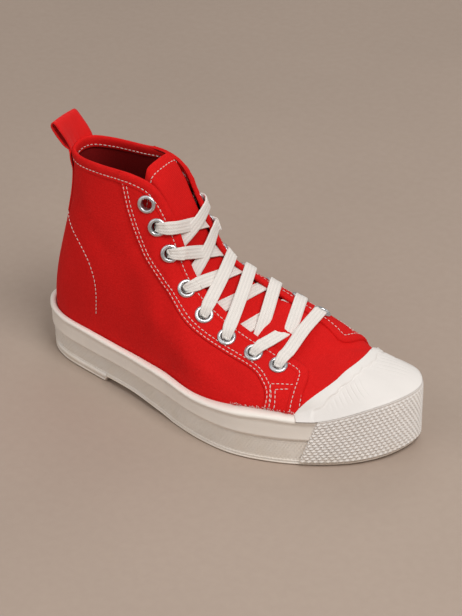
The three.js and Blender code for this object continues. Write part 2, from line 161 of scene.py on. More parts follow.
def skin(station, v):
    """Outer face of the upper, mm: v is 0 at the sole and 1 at the top line."""
    station, v = np.broadcast_arrays(np.asarray(station, float), np.asarray(v, float))
    point, outward = outline(station, -SEAT)
    away = stand(outward, np.zeros(v.shape))
    foot = stand(point, np.full(v.shape, BED))
    top = blend(station, slice(2, 5))
    fan = np.abs(station % AROUND - HEEL_TO_TOE) <= HEEL_TO_TOE - THROAT_TIP
    top[fan] = LOOP[THROAT_TIP, 2:5]
    rise, out, reach, drop = (blend(station, slice(k, k + 1)) for k in (5, 6, 7, 8))
    upward = np.array([0, 0, 1.0])
    low = foot + away * out + upward * rise
    high = top + away * reach - upward * drop
    w = v[..., None]
    return (1 - w) ** 3 * foot + 3 * (1 - w) ** 2 * w * low + 3 * (1 - w) * w * w * high + w ** 3 * top


def skin_normal(station, v):
    """The way out of the upper's outer face."""
    station, v = np.broadcast_arrays(np.asarray(station, float), np.asarray(v, float))
    across = skin(station + 0.01, v) - skin(station - 0.01, v)
    up = skin(station, np.minimum(v + 0.004, 1)) - skin(station, np.maximum(v - 0.004, 0))
    normal = np.cross(across, up)
    tip = (np.abs(station % AROUND - HEEL_TO_TOE) <= HEEL_TO_TOE - THROAT_TIP + 0.01) & (v > 0.999)
    normal[tip] = (0.05, 0, 1)
    return unit(normal)


def off_skin(station, v, grow):
    """The outer face moved out, or in where grow is negative."""
    return skin(station, v) + skin_normal(station, v) * np.asarray(grow, float)[..., None]


def cloth(station, v, grow=0.0):
    """The canvas at a distance off the wall, with its soft creases."""
    spot = skin(station, v)
    return spot + skin_normal(station, v) * (np.asarray(grow, float) + creases(spot))[..., None]


# Soft troughs (minus) and ridges: from, to, half width and depth, mm.
CREASES = (
    ((92, -34, 112), (126, -40, 66), 9, -1.2),
    ((70, -36, 96), (96, -40, 58), 12, -0.8),
    ((108, -36, 62), (150, -47, 46), 8, 0.7),
    ((150, -44, 56), (186, -48, 42), 6, -0.6),
    ((96, 30, 112), (128, 36, 66), 9, -1.2),
    ((60, 33, 100), (90, 38, 62), 12, -0.7),
    ((120, 38, 60), (176, 44, 46), 8, 0.6),
    ((34, -24, 126), (58, -31, 104), 8, -0.7),
    ((34, 20, 122), (60, 27, 100), 8, -0.7),
    ((216, -34, 47), (224, -8, 56), 5, 0.35),
    ((206, -6, 57), (228, 14, 54), 6, -0.5),
)


def creases(spots):
    """How far the canvas is pushed out at these points by its creases."""
    spots = np.asarray(spots, float)
    push = np.zeros(spots.shape[:-1])
    for start, end, width, depth in CREASES:
        start, run = np.array(start, float), np.subtract(end, start).astype(float)
        share = np.clip((spots - start) @ run / (run @ run), 0, 1)
        away = np.linalg.norm(spots - start - share[..., None] * run, axis=-1)
        push += depth * np.exp(-((away / width) ** 2))
    return push


def ease(value, low, high):
    """0 below low, 1 above high and a smooth step between."""
    share = np.clip((np.asarray(value, float) - low) / (high - low), 0, 1)
    return share * share * (3 - 2 * share)


def bump(value, middle, width):
    """A soft bump of height 1 and that half width."""
    return np.exp(-(((np.asarray(value, float) - middle) / width) ** 2))


def smooth_line(knots, count):
    """That many points on a smooth line through the knots."""
    knots = np.asarray(knots, float)
    ends = 2 * knots[0] - knots[1], 2 * knots[-1] - knots[-2]
    padded = np.vstack([ends[0], knots, ends[1]])
    place = np.linspace(0, len(knots) - 1, count)
    start = np.minimum(place.astype(int), len(knots) - 2)
    f = (place - start)[:, None]
    a, b, c, d = (padded[start + k] for k in range(4))
    return 0.5 * (
        2 * b + (c - a) * f + (2 * a - 5 * b + 4 * c - d) * f * f + (3 * b - a - 3 * c + d) * f ** 3
    )


def even_steps(points, pitch):
    """Fractional places a pitch apart along a line of points."""
    run = walked(points)
    places = np.arange(pitch / 2, run[-1] - pitch / 4, pitch)
    return np.interp(places, run, np.arange(len(points)))


def pick(values, places):
    """Rows of values at fractional places, by straight blending."""
    values = np.asarray(values, float)
    low = np.minimum(places.astype(int), len(values) - 2)
    share = (places - low).reshape((-1,) + (1,) * (values.ndim - 1))
    return values[low] * (1 - share) + values[low + 1] * share


def solve(read, low, high, target):
    """Where read, which rises from low to high, reaches the target; all as arrays."""
    target = np.asarray(target, float)
    low, high = np.broadcast_to(low, target.shape) + 0.0, np.broadcast_to(high, target.shape) + 0.0
    for _ in range(26):
        middle = (low + high) / 2
        less = read(middle) < target
        low, high = np.where(less, middle, low), np.where(less, high, middle)
    return (low + high) / 2


def level_on_skin(station, height):
    """The v at which the wall reaches a height just above the sole."""
    station = np.asarray(station, float)
    height = np.broadcast_to(np.asarray(height, float), station.shape)
    return solve(lambda v: skin(station, v)[..., 2], 0.0, 0.6, height)


def slide(station, v, way, distance):
    """Moves places on the wall by a distance along the directions way."""
    station, v = np.array(station, float), np.array(v, float)
    steps = 6
    for _ in range(steps):
        by_station = (skin(station + 0.01, v) - skin(station - 0.01, v)) / 0.02
        by_v = (skin(station, v + 0.002) - skin(station, v - 0.002)) / 0.004
        move = way * (distance / steps)
        aa, bb = (by_station ** 2).sum(-1), (by_v ** 2).sum(-1)
        ab = (by_station * by_v).sum(-1)
        ma, mb = (move * by_station).sum(-1), (move * by_v).sum(-1)
        det = np.maximum(aa * bb - ab * ab, 1e-6)
        station += (ma * bb - mb * ab) / det
        v += (mb * aa - ma * ab) / det
    return station, v


def inward(station, v):
    """The direction in the wall's face at right angles to a line of places on it."""
    spots = skin(station, v)
    along = np.gradient(spots, axis=0)
    return unit(np.cross(skin_normal(station, v), along))


# ------------------------------------------------------------ mesh helpers
def net(points, uv=None, out=None):
    """A grid laid over rows and columns of points in mm; out says which way it faces."""
    points = np.asarray(points, float)
    rows, columns = points.shape[:2]
    bm = bmesh.new()
    bmesh.ops.create_grid(bm, x_segments=columns - 1, y_segments=rows - 1, size=0.5)
    flat = np.array([vertex.co for vertex in bm.verts])
    column = np.rint((flat[:, 0] + 0.5) * (columns - 1)).astype(int)
    row = np.rint((flat[:, 1] + 0.5) * (rows - 1)).astype(int)
    for vertex, spot in zip(bm.verts, metres(points)[row, column]):
        vertex.co = spot
    if uv is not None:
        layer = bm.loops.layers.uv.new("cloth")
        for face in bm.faces:
            for loop in face.loops:
                place = loop.vert.index
                loop[layer].uv = uv[row[place], column[place]] * 0.001
    if out is not None:
        bm.normal_update()
        ways = np.asarray(out)[row, column]
        picked = list(bm.faces)[::37]
        if sum(face.normal.dot(Vector(ways[face.verts[0].index])) for face in picked) < 0:
            bmesh.ops.reverse_faces(bm, faces=bm.faces[:])
    weld(bm)
    return bm


def weld(bm, close=0.000002):
    """Merges points that lie on each other."""
    bmesh.ops.remove_doubles(bm, verts=bm.verts[:], dist=close)


def seal(bm):
    """Closes the open ends of a tube and turns it right side out."""
    edges = [edge for edge in bm.edges if edge.is_boundary]
    if edges:
        bmesh.ops.holes_fill(bm, edges=edges, sides=0)
    bmesh.ops.recalc_face_normals(bm, faces=bm.faces[:])
    return bm


def join(parts):
    """One bmesh of several."""
    whole = bmesh.new()
    for part in parts:
        carrier = bpy.data.meshes.new("carrier")
        part.to_mesh(carrier)
        part.free()
        whole.from_mesh(carrier)
        bpy.data.meshes.remove(carrier)
    return whole


def make(name, bm, finishes, nodes=(), wall=None, flat=False, lined=False):
    """Turns a bmesh into a finished piece; wall is a cloth's thickness in mm, put inwards."""
    mesh = bpy.data.meshes.new(name)
    bm.to_mesh(mesh)
    bm.free()
    piece = bpy.data.objects.new(name, mesh)
    bpy.context.scene.collection.objects.link(piece)
    for finish in finishes:
        mesh.materials.append(FINISHES[finish]())
    mesh.polygons.foreach_set("use_smooth", [not flat] * len(mesh.polygons))
    if wall:
        shell = piece.modifiers.new("wall", "SOLIDIFY")
        shell.thickness = wall * 0.001
        shell.offset = -1
        shell.material_offset = 1 if lined else 0
    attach(piece, "root")
    if nodes:
        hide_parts(*nodes)
    return piece


def sizes():
    """The sizes in the panel."""
    return bpy.context.scene.sneaker_sizes


def mm(name):
    """A size from the panel, in mm."""
    return getattr(sizes(), name) * 1000


# ------------------------------------------------------------ lines on the shoe
# Each quarter's front edge leans forward from its foot and rounds back into the throat.
FrontEdge = namedtuple("FrontEdge", "foot lean")
FRONT_EDGE = {-1: FrontEdge(9.6, 0.92), 1: FrontEdge(9.75, 1.5)}
THROAT_FRONT = 9.05  # station where both edges meet the throat's front
CORNER_FROM = 0.6  # v where the rounding starts
CORNER_POWER = 4.5  # how tight it is

# The eyestay from the collar down to the band: its back edge, and across from it the
# throat's edge ahead and then v down the quarter's front edge.
Eyestay = namedtuple("Eyestay", "station v ahead down")
EYESTAY = (
    Eyestay(3.55, 1.0, 3.6, 1.0),
    Eyestay(3.95, 0.82, 4.9, 1.0),
    Eyestay(4.7, 0.65, 5.9, 1.0),
    Eyestay(5.7, 0.61, 6.6, 1.0),
    Eyestay(6.9, 0.66, 7.4, 1.0),
    Eyestay(8.2, 0.68, 8.6, 1.0),
    Eyestay(8.7, 0.66, THROAT_FRONT, 1.0),
    Eyestay(8.9, 0.57, THROAT_FRONT, 0.86),
    Eyestay(8.95, 0.47, THROAT_FRONT, 0.68),
    Eyestay(8.85, 0.32, THROAT_FRONT, 0.4),
    Eyestay(8.7, 0.1, THROAT_FRONT, 0.1),
)

# The heel counter reaches this station, up to this v at the heel, and rounds from this v.
COUNTER_REACH = 3.15
COUNTER_TOP = 0.67
COUNTER_ROUND = 0.3
QUARTER = -0.9  # the quarters' face, in from the wall's; the eyestays lie on it
OPEN_VAMP = -1.0  # the vamp's face in front of the quarters
TUCKED = -4.3  # the vamp's and tongue's face where the quarters cover them


def front_station(v, side):
    """Station of a quarter's front edge at v."""
    v = np.asarray(v, float)
    edge = FRONT_EDGE[side]
    corner = edge.foot + edge.lean - THROAT_FRONT
    rounding = np.clip((v - CORNER_FROM) / (1 - CORNER_FROM), 0, 1) ** CORNER_POWER
    return edge.foot + edge.lean * v * v - corner * rounding


def signed(station, side):
    """A station with a minus on the inner side."""
    return station if side < 0 else -station


def eyelet_places(side):
    """Each eyelet's station and v, from its CAD node's own box."""
    stations = signed(np.linspace(4, 10, 61), side)
    tried = np.array([(station, v) for station in stations for v in np.linspace(0.5, 1, 51)])
    spots = off_skin(tried[:, 0], tried[:, 1], -1.2)
    found = []
    for number in range(1, 9):
        low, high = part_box(f"eyelet_{WORD[side]}_{number}")
        centre = np.array((low + high) / 2) * 1000 - FROM_HEEL
        found.append(tuple(tried[np.linalg.norm(spots - centre, axis=1).argmin()]))
    return found


def pierce(bm, radius=4.3):
    """Round holes for the eyelets, cut before the cloth gets its wall."""
    bm.normal_update()
    for side in (-1, 1):
        for station, v in eyelet_places(side):
            centre = Vector(metres(skin(station, v)))
            normal = Vector(skin_normal(station, v))
            hole = radius * 0.001
            near = [face for face in bm.faces if (face.calc_center_median() - centre).length < hole]
            if not near:
                continue
            bmesh.ops.delete(bm, geom=near, context="FACES")
            edge = [vertex for vertex in bm.verts if vertex.is_boundary]
            for vertex in edge:
                away = vertex.co - centre
                if away.length < 1.6 * hole:
                    lift = normal * away.dot(normal)
                    vertex.co = centre + lift + (away - lift).normalized() * hole


# ------------------------------------------------------------ canvas
def build_quarters():
    """Both quarters and the counter as one wall of canvas from front edge to front edge."""
    v = 1 - (1 - np.linspace(0, 1, 96)[:, None]) ** 1.15 * 0.94
    outer, inner = front_station(v, -1), front_station(v, 1)
    share = np.linspace(0, 1, 320)[None, :]
    station = outer * (1 - share) - inner * share
    v = np.broadcast_to(v, station.shape)
    behind = counter_line(v) - np.abs(station)
    grow = QUARTER + 0.4 * ease(behind, -0.02, 0.1)
    spots = cloth(station, v, grow)
    bm = net(spots, out=skin_normal(station, v))
    pierce(bm)
    return make("quarters", bm, ("canvas", "lining"), ["upper"], wall=1.5, lined=True)


def counter_line(v):
    """Station of the heel counter's edge at v, or behind the heel above its top."""
    rounding = np.clip((v - COUNTER_ROUND) / (COUNTER_TOP - COUNTER_ROUND), 0, 1) ** 3
    return np.where(v < COUNTER_TOP, COUNTER_REACH * np.sqrt(1 - rounding), -1.0)


def eyestay_lines(side, count):
    """Station and v of the eyestay's back edge, then of its front edge."""
    rear_station, rear_v, ahead, down = smooth_line(EYESTAY, count).T
    down = np.minimum(down, 1)
    return rear_station, np.minimum(rear_v, 1), ahead + front_station(down, side) - THROAT_FRONT, down


def build_eyestay(side):
    """The overlay under the eyelets, with a folded back edge and a rounded front."""
    rear_station, rear_v, front_at, front_v = (line[:, None] for line in eyestay_lines(side, 280))
    share = (np.linspace(0, 1, 46) ** 1.35)[None, :]
    station = signed(rear_station * (1 - share) + front_at * share, side)
    v = rear_v * (1 - share) + front_v * share
    width = np.linalg.norm(skin(station[:, -1], v[:, -1]) - skin(station[:, 0], v[:, 0]), axis=1)[:, None]
    inset = share * width
    grow = QUARTER + 0.95 * ease(inset, -0.4, 0.8) + 0.22 * bump(inset, 1.0, 0.8)
    grow = grow - 0.2 * bump(inset, 1.9, 0.5) - 0.2 * bump(inset, 4.6, 0.5)
    bm = net(cloth(station, v, grow), out=skin_normal(station, v))
    pierce(bm)
    return make(f"eyestay_{WORD[side]}", bm, ("canvas",), wall=0.8)


def edge_path():
    """Places all along the quarters' edge: outer front, collar, inner front."""
    def front(side):
        v = np.concatenate([np.linspace(0.12, 0.9, 60), np.linspace(0.905, 1, 24)[:-1]])
        return np.stack([signed(front_station(v, side), side), v], 1)
    top = np.stack([np.linspace(THROAT_FRONT, -THROAT_FRONT, 420), np.ones(420)], 1)
    line = np.vstack([front(-1), top, front(1)[::-1]])
    spots = skin(line[:, 0], line[:, 1])
    return pick(line, even_steps(spots, 1.3))


def edge_inward():
    """The quarters' edge as station and v, and the direction from it into the cloth."""
    station, v = edge_path().T
    way = inward(station, v)
    collar = len(way) // 2
    return station, v, -way if way[collar, 2] > 0 else way


def edge_base(station):
    """What the binding lies on: the quarter at the collar and the eyestay in front."""
    return QUARTER + 0.1 + 0.8 * ease(np.abs(station), 3.3, 3.8)


# The folded edge's section: how far in from the edge, and how far off the cloth.
BINDING = (
    (8.0, -0.15), (7.7, 0.3), (7.0, 0.5), (6.1, 0.42), (5.5, 0.22), (4.9, 0.45), (3.6, 0.7), (2.2, 0.72),
    (0.9, 0.5), (0.1, 0.0), (-0.3, -0.7), (-0.2, -1.5), (0.4, -2.1), (1.6, -2.45), (4.6, -2.45),
    (5.5, -2.25), (6.4, -2.45), (7.8, -2.35), (8.0, -1.4), (8.0, -0.15),
)


def build_binding():
    """The folded band along the collar and both facings, inside and out."""
    station, v, way = edge_inward()
    width = mm("binding_width")
    inner_station, inner_v = slide(station, v, way, width)
    base = edge_base(station)
    wave = 0.12 * np.sin(np.arange(len(station)) * 0.9) + 0.1 * np.sin(np.arange(len(station)) * 0.37)
    rows = []
    for inset, height in BINDING:
        share = max(inset, 0) / 8.0
        here, there = station + (inner_station - station) * share, v + (inner_v - v) * share
        lift = base + height + (wave if 0 < inset < 5 and height > 0 else 0)
        spot = cloth(here, np.minimum(there, 1), lift)
        rows.append(spot + way * min(inset, 0))
    bm = seal(net(np.stack(rows, 1)))
    return make("binding", bm, ("canvas",))


def plane_sections():
    """Rows of places across the forefoot where the vamp shows, from under the cap back to the throat."""
    rows = []
    for x in np.linspace(247, 214.2, 34):
        halves = []
        for side in (-1, 1):
            low = solve(lambda s: foot_x(s, side), 8.0, 12.9, [x])[0]
            station = signed(np.linspace(low, HEEL_TO_TOE, 60), side)
            v = solve(lambda w: -skin(station, w)[..., 0], 0.0, 1.0, np.full(60, -x))
            halves.append((station, v))
        rows.append(halves)
    return rows


def foot_x(station, side):
    """How far along the shoe the wall is just above the side band."""
    station = signed(np.asarray(station, float), side)
    return skin(station, level_on_skin(station, 29))[..., 0]


def tucked(station, v, side):
    """How far the vamp and tongue lie in from the wall's face."""
    behind = front_station(v, side) - np.abs(station)
    return OPEN_VAMP + (TUCKED - OPEN_VAMP) * ease(behind, 0.05, 0.6)


def build_vamp():
    """The vamp and the tongue as one sheet, from under the toe cap to above the collar."""
    across = 72
    sections = []
    for halves in plane_sections():
        line = [cloth(s, v, tucked(s, v, side)) for side, (s, v) in zip((-1, 1), halves)]
        sections.append(np.vstack([line[0], line[1][::-1]]))
    tops = np.concatenate([np.linspace(10.95, 9, 26), np.linspace(8.92, 5.3, 60)])
    for top in tops:
        sections.append(throat_section(top))
    last = sections[-1]
    upward = unit((last - sections[-4]).mean(0))
    spread = np.linspace(-1, 1, len(last))
    round_off = TONGUE_RISE * np.where(spread < 0, 0.62, 0.18) * np.abs(spread) ** 2.2
    for rise in np.linspace(1.5, TONGUE_RISE, 12):
        share = rise / TONGUE_RISE
        wider = TONGUE_SPREAD * ease(share, 0, 0.5) * np.maximum(-spread, 0)
        lean = np.stack([-0.9 * share * share - wider, 0 * spread, 0 * spread], 1)
        sections.append(last + upward * (rise - round_off * share)[:, None] + lean)
    rows = []
    for line in sections:
        run = walked(line)
        even = np.linspace(0, run[-1], across)
        rows.append(np.stack([np.interp(even, run, line[:, axis]) for axis in range(3)], 1))
    rows = np.array(rows)
    for _ in range(2):
        rows[1:-1] = (rows[:-2] + 2 * rows[1:-1] + rows[2:]) / 4
    up = unit(np.cross(np.gradient(rows, axis=1), np.gradient(rows, axis=0)))
    up *= np.sign(up[20, across // 2, 2])
    rows += up * puckers(rows)[..., None]
    TONGUE_ROWS[:] = [rows, up]
    bm = net(rows, out=up)
    return make("vamp_and_tongue", bm, ("canvas", "lining"), ["tongue"], wall=1.3, lined=True)


TONGUE_CROWN = 0.4  # how strongly the tongue bulges between the facings
TONGUE_RISE = 17.5
TONGUE_SPREAD = 6.0  # how far its outer corner leans back over the collar
TONGUE_ROWS = []  # the tongue's points and normals, for its own stitching
# Puckers across the tongue between the laces: x, z of the middle, half width and depth.
PUCKERS = (
    (188, 57, 3.2, -0.9), (176, 60, 3.0, -0.7), (160, 66, 3.6, -0.8),
    (143, 75, 3.4, -0.7), (129, 88, 4.0, -0.6), (118, 108, 4.4, -0.6),
)


def puckers(rows):
    """How far the tongue is pushed out at its points by its puckers."""
    push = np.zeros(rows.shape[:2])
    for x, z, width, depth in PUCKERS:
        slant = (rows[..., 1] + 3) * 0.25
        away = np.hypot(rows[..., 0] - x + slant, rows[..., 2] - z)
        push += depth * np.exp(-((away / width) ** 2)) * ease(16 - np.abs(rows[..., 1] + 3), 0, 9)
    return push


def throat_section(top):
    """A line across the shoe whose middle bridges the throat at that station."""
    x = float(skin(top, 1.0)[0])
    tilt = float(ease(x, 172, 206))
    halves = []
    for side in (-1, 1):
        full = 0.12 if x > 196 else 0.12 + 0.5 * float(ease(196 - x, 0, 26))
        v = 1 - (1 - np.linspace(0, 1, 50)) * (1 - full) if x > 172 else np.linspace(max(full, 0.6), 1, 50)
        level = solve(lambda s: skin(signed(s, side), v)[..., 0], 4.0, 12.9, np.full(50, x))
        station = signed(top + tilt * (level - top), side)
        halves.append(cloth(station, v, tucked(station, v, side)))
    outer, inner = halves
    gap = np.linalg.norm(inner[-1] - outer[-1])
    f = np.linspace(0, 1, 26)[1:-1, None]
    start, end = outer[-1] - outer[-4], inner[-1] - inner[-4]
    start, end = (w / max(np.linalg.norm(w), 1e-6) * gap for w in (start, end))
    h = (2 * f ** 3 - 3 * f ** 2 + 1, f ** 3 - 2 * f ** 2 + f, 3 * f ** 2 - 2 * f ** 3, f ** 3 - f ** 2)
    bridge = h[0] * outer[-1] + h[1] * start * TONGUE_CROWN + h[2] * inner[-1] - h[3] * end * TONGUE_CROWN
    return np.vstack([outer, bridge, inner[::-1]])


def tape_bend(y):
    """How far the tape's sides come forward round the heel."""
    return 0.012 * (y + 2) ** 2


def build_pull_loop():
    """The tape up the back seam, folded into a loop that leans back above the collar."""
    half = 11.5
    across = np.linspace(-half, half, 15)
    rows = []
    for v in np.linspace(0.665, 0.985, 46):
        station = across / 10.6
        lift = -0.4 + 1.5 * float(ease(v, 0.88, 0.96))
        rows.append(cloth(-station, np.full(15, v), np.full(15, lift)))
    join_at = rows[-1]
    knots = [
        (join_at[7, 0], join_at[7, 2]), (21.6, 159.0), (17.0, 164.5), (14.6, 169.6), (15.6, 172.8),
        (18.4, 172.3), (21.8, 168.0), (25.0, 162.6), (27.0, 158.0), (26.6, 154.6),
    ]
    line = smooth_line(knots, 60)
    for x, z in line[1:]:
        fade = 1 - 0.75 * float(bump(z, 172, 8))
        y = -2 + across
        rows.append(np.stack([x + tape_bend(y) * 1.9 * fade, y, np.full(15, z)], 1))
    rows = np.array(rows)
    uv = np.stack(np.broadcast_arrays(walked(rows[:, 7])[:, None], across[None, :]), -1)
    bm = net(rows, uv=uv, out=np.broadcast_to([-1.0, 0, 0.2], rows.shape))
    piece = make("pull_loop_tape", bm, ("tape",), ["pull_loop"], wall=0.9)
    piece.modifiers["wall"].offset = 0
    return piece


# ------------------------------------------------------------ rubber
def all_round(count):
    """That many stations right round the shoe."""
    return np.linspace(0, AROUND, count)


def ground(x):
    """Height of the sole's underside: flat heel, breast, arch and toe spring."""
    return np.where(x > 62.0, arch_rise(x), 0) + toe_spring(x)


def arch_rise(x):
    """How high the arch stands behind the ball; the heel block keeps its full height."""
    fall = np.clip((x - 62.0) / 66.0, 0, 1)
    return 4.0 * (1 - fall ** 2.5)


def toe_spring(x):
    """How high the sole curls up towards the toe."""
    return 2.0 * np.maximum(0, (x - 225.0) / 47.0) ** 2


def ledge(x):
    """Height where the side band starts above the outsole's edge."""
    return 3.0 + arch_rise(x) + toe_spring(x)


def across_sole(station, grow, share):
    """Flat points from the outer to the inner edge of the outline, moved out by grow."""
    outer, inner = outline(station, grow)[0], outline(AROUND - station, grow)[0]
    share = share[None, :, None]
    return outer[:, None] * (1 - share) + inner[:, None] * share


# The outsole's beaded edge: how far out of the outline and how high off the ground.
BEAD = ((-2.2, 0.0), (-0.7, 0.25), (0.1, 0.9), (0.35, 1.6), (0.1, 2.15), (-0.35, 2.4), (0.2, 2.75))
OUTSOLE_TOP = 0.25  # how far out its top edge is
GROOVE = 1.5  # depth of the tread's grooves


def build_outsole():
    """The tread with its grooves and the beaded edge, closed over the top."""
    station = np.linspace(0, HEEL_TO_TOE, 260)
    share = np.linspace(0, 1, 14)
    flat = across_sole(station, BEAD[0][0], share)
    grooved = ease(np.minimum(share, 1 - share), 0.02, 0.09)
    bottom = net(stand(flat, ground(flat[..., 0]) + GROOVE * tread(flat[..., 0]) * grooved))
    ring = np.concatenate([station, AROUND - station[::-1][1:]])
    rows = []
    for out, level in BEAD:
        point = outline(ring, out)[0]
        x = point[:, 0]
        rows.append(stand(point, np.minimum(ground(x) + level, ledge(x) - 0.1)))
    rim = outline(ring, OUTSOLE_TOP)[0]
    rows.append(stand(rim, ledge(rim[:, 0])))
    side = net(np.stack(rows, 1))
    flat = across_sole(station, OUTSOLE_TOP, share)
    top = net(stand(flat, ledge(flat[..., 0])))
    bm = join([bottom, side, top])
    weld(bm)
    return make("tread", seal(bm), ("rubber",), ["outsole"])


def tread(x):
    """1 in a groove of the tread and 0 on a bar."""
    deep = np.zeros_like(x)
    for first, count in ((12, 4), (142, 8)):
        for k in range(count):
            deep = np.maximum(deep, ease(1.9 - np.abs(x - first - 12 * k), 0, 0.7))
    return deep


def band_out(height):
    """How far the side band stands out at a height."""
    levels = (0, 12, 19.8, 20.8, 21.8, 30, 32.4, 33.1, 34.4, 35)
    outs = (0.1, 0.3, 0.4, 1.2, 1.05, 1.05, 1.0, 1.55, 1.4, 0.5)
    return np.interp(height, levels, outs)


def band_top(x):
    """Height of the side band's top edge."""
    return BAND_TOP - 1.6 * bump(x, 84, 26) - 2.2 * bump(x, 147, 26) + 1.4 * bump(x, 202, 20)


def toe_rise(x):
    """How much higher the bumper and the cap's lower edge stand round the toe."""
    return 9.0 * ease(x, 228, 272)


STUDS_TOP = 19.0  # height up to which the side band is studded


def build_foxing():
    """The side band: fine studs below, a ledge, a smooth band and a bright thin rim."""
    pitch, depth = mm("rib_pitch"), mm("rib_depth")
    coarse = all_round(800)
    run = walked(outline(coarse)[0])
    studs = 2 * int(run[-1] / (2 * pitch))
    place = np.linspace(0, run[-1], 4 * studs + 1)
    station = np.interp(place, run, coarse)
    studded = tuple(np.linspace(1.2, 18.6, 17))
    levels = (0, 0.6) + studded + (19.2, 19.8, 20.8, 21.8, 26, 30, 32.4, 33.1, 34.4, 35)
    rows = []
    for row, level in enumerate(levels):
        out = np.full(station.shape, float(band_out(level)))
        ribbed = float(ease(level, 0.2, 0.8) * (1 - ease(level, 19.2, 19.9)))
        out = out - depth * (1 - dots(len(station), row)) * ribbed
        point = outline(station, out)[0]
        low = ledge(point[:, 0]) + 0.1
        if level < STUDS_TOP:
            height = low + (STUDS_TOP - low) * level / STUDS_TOP
        else:
            share = (level - STUDS_TOP) / (BAND_TOP - STUDS_TOP)
            height = STUDS_TOP + (band_top(point[:, 0]) - STUDS_TOP) * share
        wobble = 0.25 * np.sin(station * 5.1) * ease(level, 29, 33) * (1 - ease(level, 34, 35))
        rows.append(stand(point, height + wobble))
    top = band_top(outline(station)[0][:, 0])
    for grow, down in ((0.5, 0.0), (0.1, 0.6), (-0.6, 3.0)):
        v = solve(lambda w: skin(station, w)[..., 2], 0.0, 0.6, top - down)
        rows.append(off_skin(station, v, np.full(station.shape, grow)))
    grid = np.stack(rows, 1)
    floor = outline(station, -6.0)[0]
    inner = stand(floor, ledge(floor[:, 0]) + 0.1)[:, None]
    behind = off_skin(station, np.zeros(station.shape), np.full(station.shape, -0.6))[:, None]
    grid = np.concatenate([inner, grid, behind, inner], 1)
    bm = net(grid)
    bmesh.ops.recalc_face_normals(bm, faces=bm.faces[:])
    return make("side_band", bm, ("rubber",), ["foxing"])


def dots(count, row):
    """Heights along one row of a staggered pattern of studs, four columns to a stud."""
    if row % 2 == 0:
        return np.zeros(count)
    shift = 2 if (row // 2) % 2 else 0
    return np.array([0.0, 0.6, 1.0, 0.6])[(np.arange(count) + shift) % 4]


BUMPER_BACK = 220.0  # x of the bumper's ends at the floor
BUMPER_SLANT = 0.34  # how far they lean forward for each mm up


def build_bumper():
    """The studded strip round the toe, with slanting ends and a plain lip on top."""
    pitch, height = mm("stud_pitch"), mm("stud_height")
    ends = []
    for side in (-1, 1):
        for z in (2.0, 36.0):
            x = BUMPER_BACK + BUMPER_SLANT * z
            ends.append(solve(lambda s: outline(signed(s, side))[0][..., 0], 7.0, 12.5, [x])[0])
    outer_low, outer_high, inner_low, inner_high = ends
    middle = outline(np.linspace(outer_low, AROUND - inner_low, 400))[0]
    columns = 4 * int(np.linalg.norm(np.diff(middle, axis=0), axis=1).sum() / pitch)
    tiers = 2 * int(30.5 / (pitch * 0.62))
    share = np.linspace(0, 1, columns + 1)
    rows = []
    lift_rows = [(-1.4, 0.0), (0.0, 0.0)] + [(1.3, k) for k in range(tiers + 1)]
    lift_rows += [(1.55, tiers + 0.35), (1.6, tiers + 0.9), (1.2, tiers + 1.35), (-1.0, tiers + 1.5)]
    for out, tier in lift_rows:
        z_share = tier / tiers
        z = 3.4 + 30.6 * z_share
        low = outer_low + (outer_high - outer_low) * z / 36
        high = AROUND - (inner_low + (inner_high - inner_low) * z / 36)
        station = low + (high - low) * share
        peak = np.zeros(columns + 1)
        if 0 < tier < tiers:
            peak = height * dots(columns + 1, tier)
        edge = np.minimum(np.arange(columns + 1), np.arange(columns + 1)[::-1])
        inset = np.where(edge < 1, -1.6, 0.0)
        point = outline(station, 0.3 + 0.8 * min(z, 30) / 30 + out + peak + inset)[0]
        lift = toe_spring(point[:, 0]) * (1 - z_share) + toe_rise(point[:, 0]) * z_share + 0.2
        rows.append(stand(point, z + lift))
    grid = np.stack(rows, 0)
    outward = outline(np.linspace(outer_low, AROUND - inner_low, columns + 1))[1]
    bm = net(grid, out=np.broadcast_to(stand(outward, np.zeros(columns + 1)), grid.shape))
    return make("studded_bumper", bm, ("studs",), ["toe_bumper"], wall=0.8, flat=True)


CAP_LIP = 35.4  # height of the cap's lower edge at its back corners
CAP_FLARE = 0.5  # share of the cap's height over which it spreads out to the bumper
BUMPER_FACE = 2.7  # how far the bumper's lip stands out from the sole's outline
CAP_EDGE = (237.0, 20.0, 5.0, 50.0)  # the cap's straight edge: x = a - b ((y - c) / d)^2


def past_cap(spots):
    """How far in front of the cap's back edge points are, mm."""
    a, b, c, d = CAP_EDGE
    return spots[..., 0] - (a - b * ((spots[..., 1] - c) / d) ** 2)


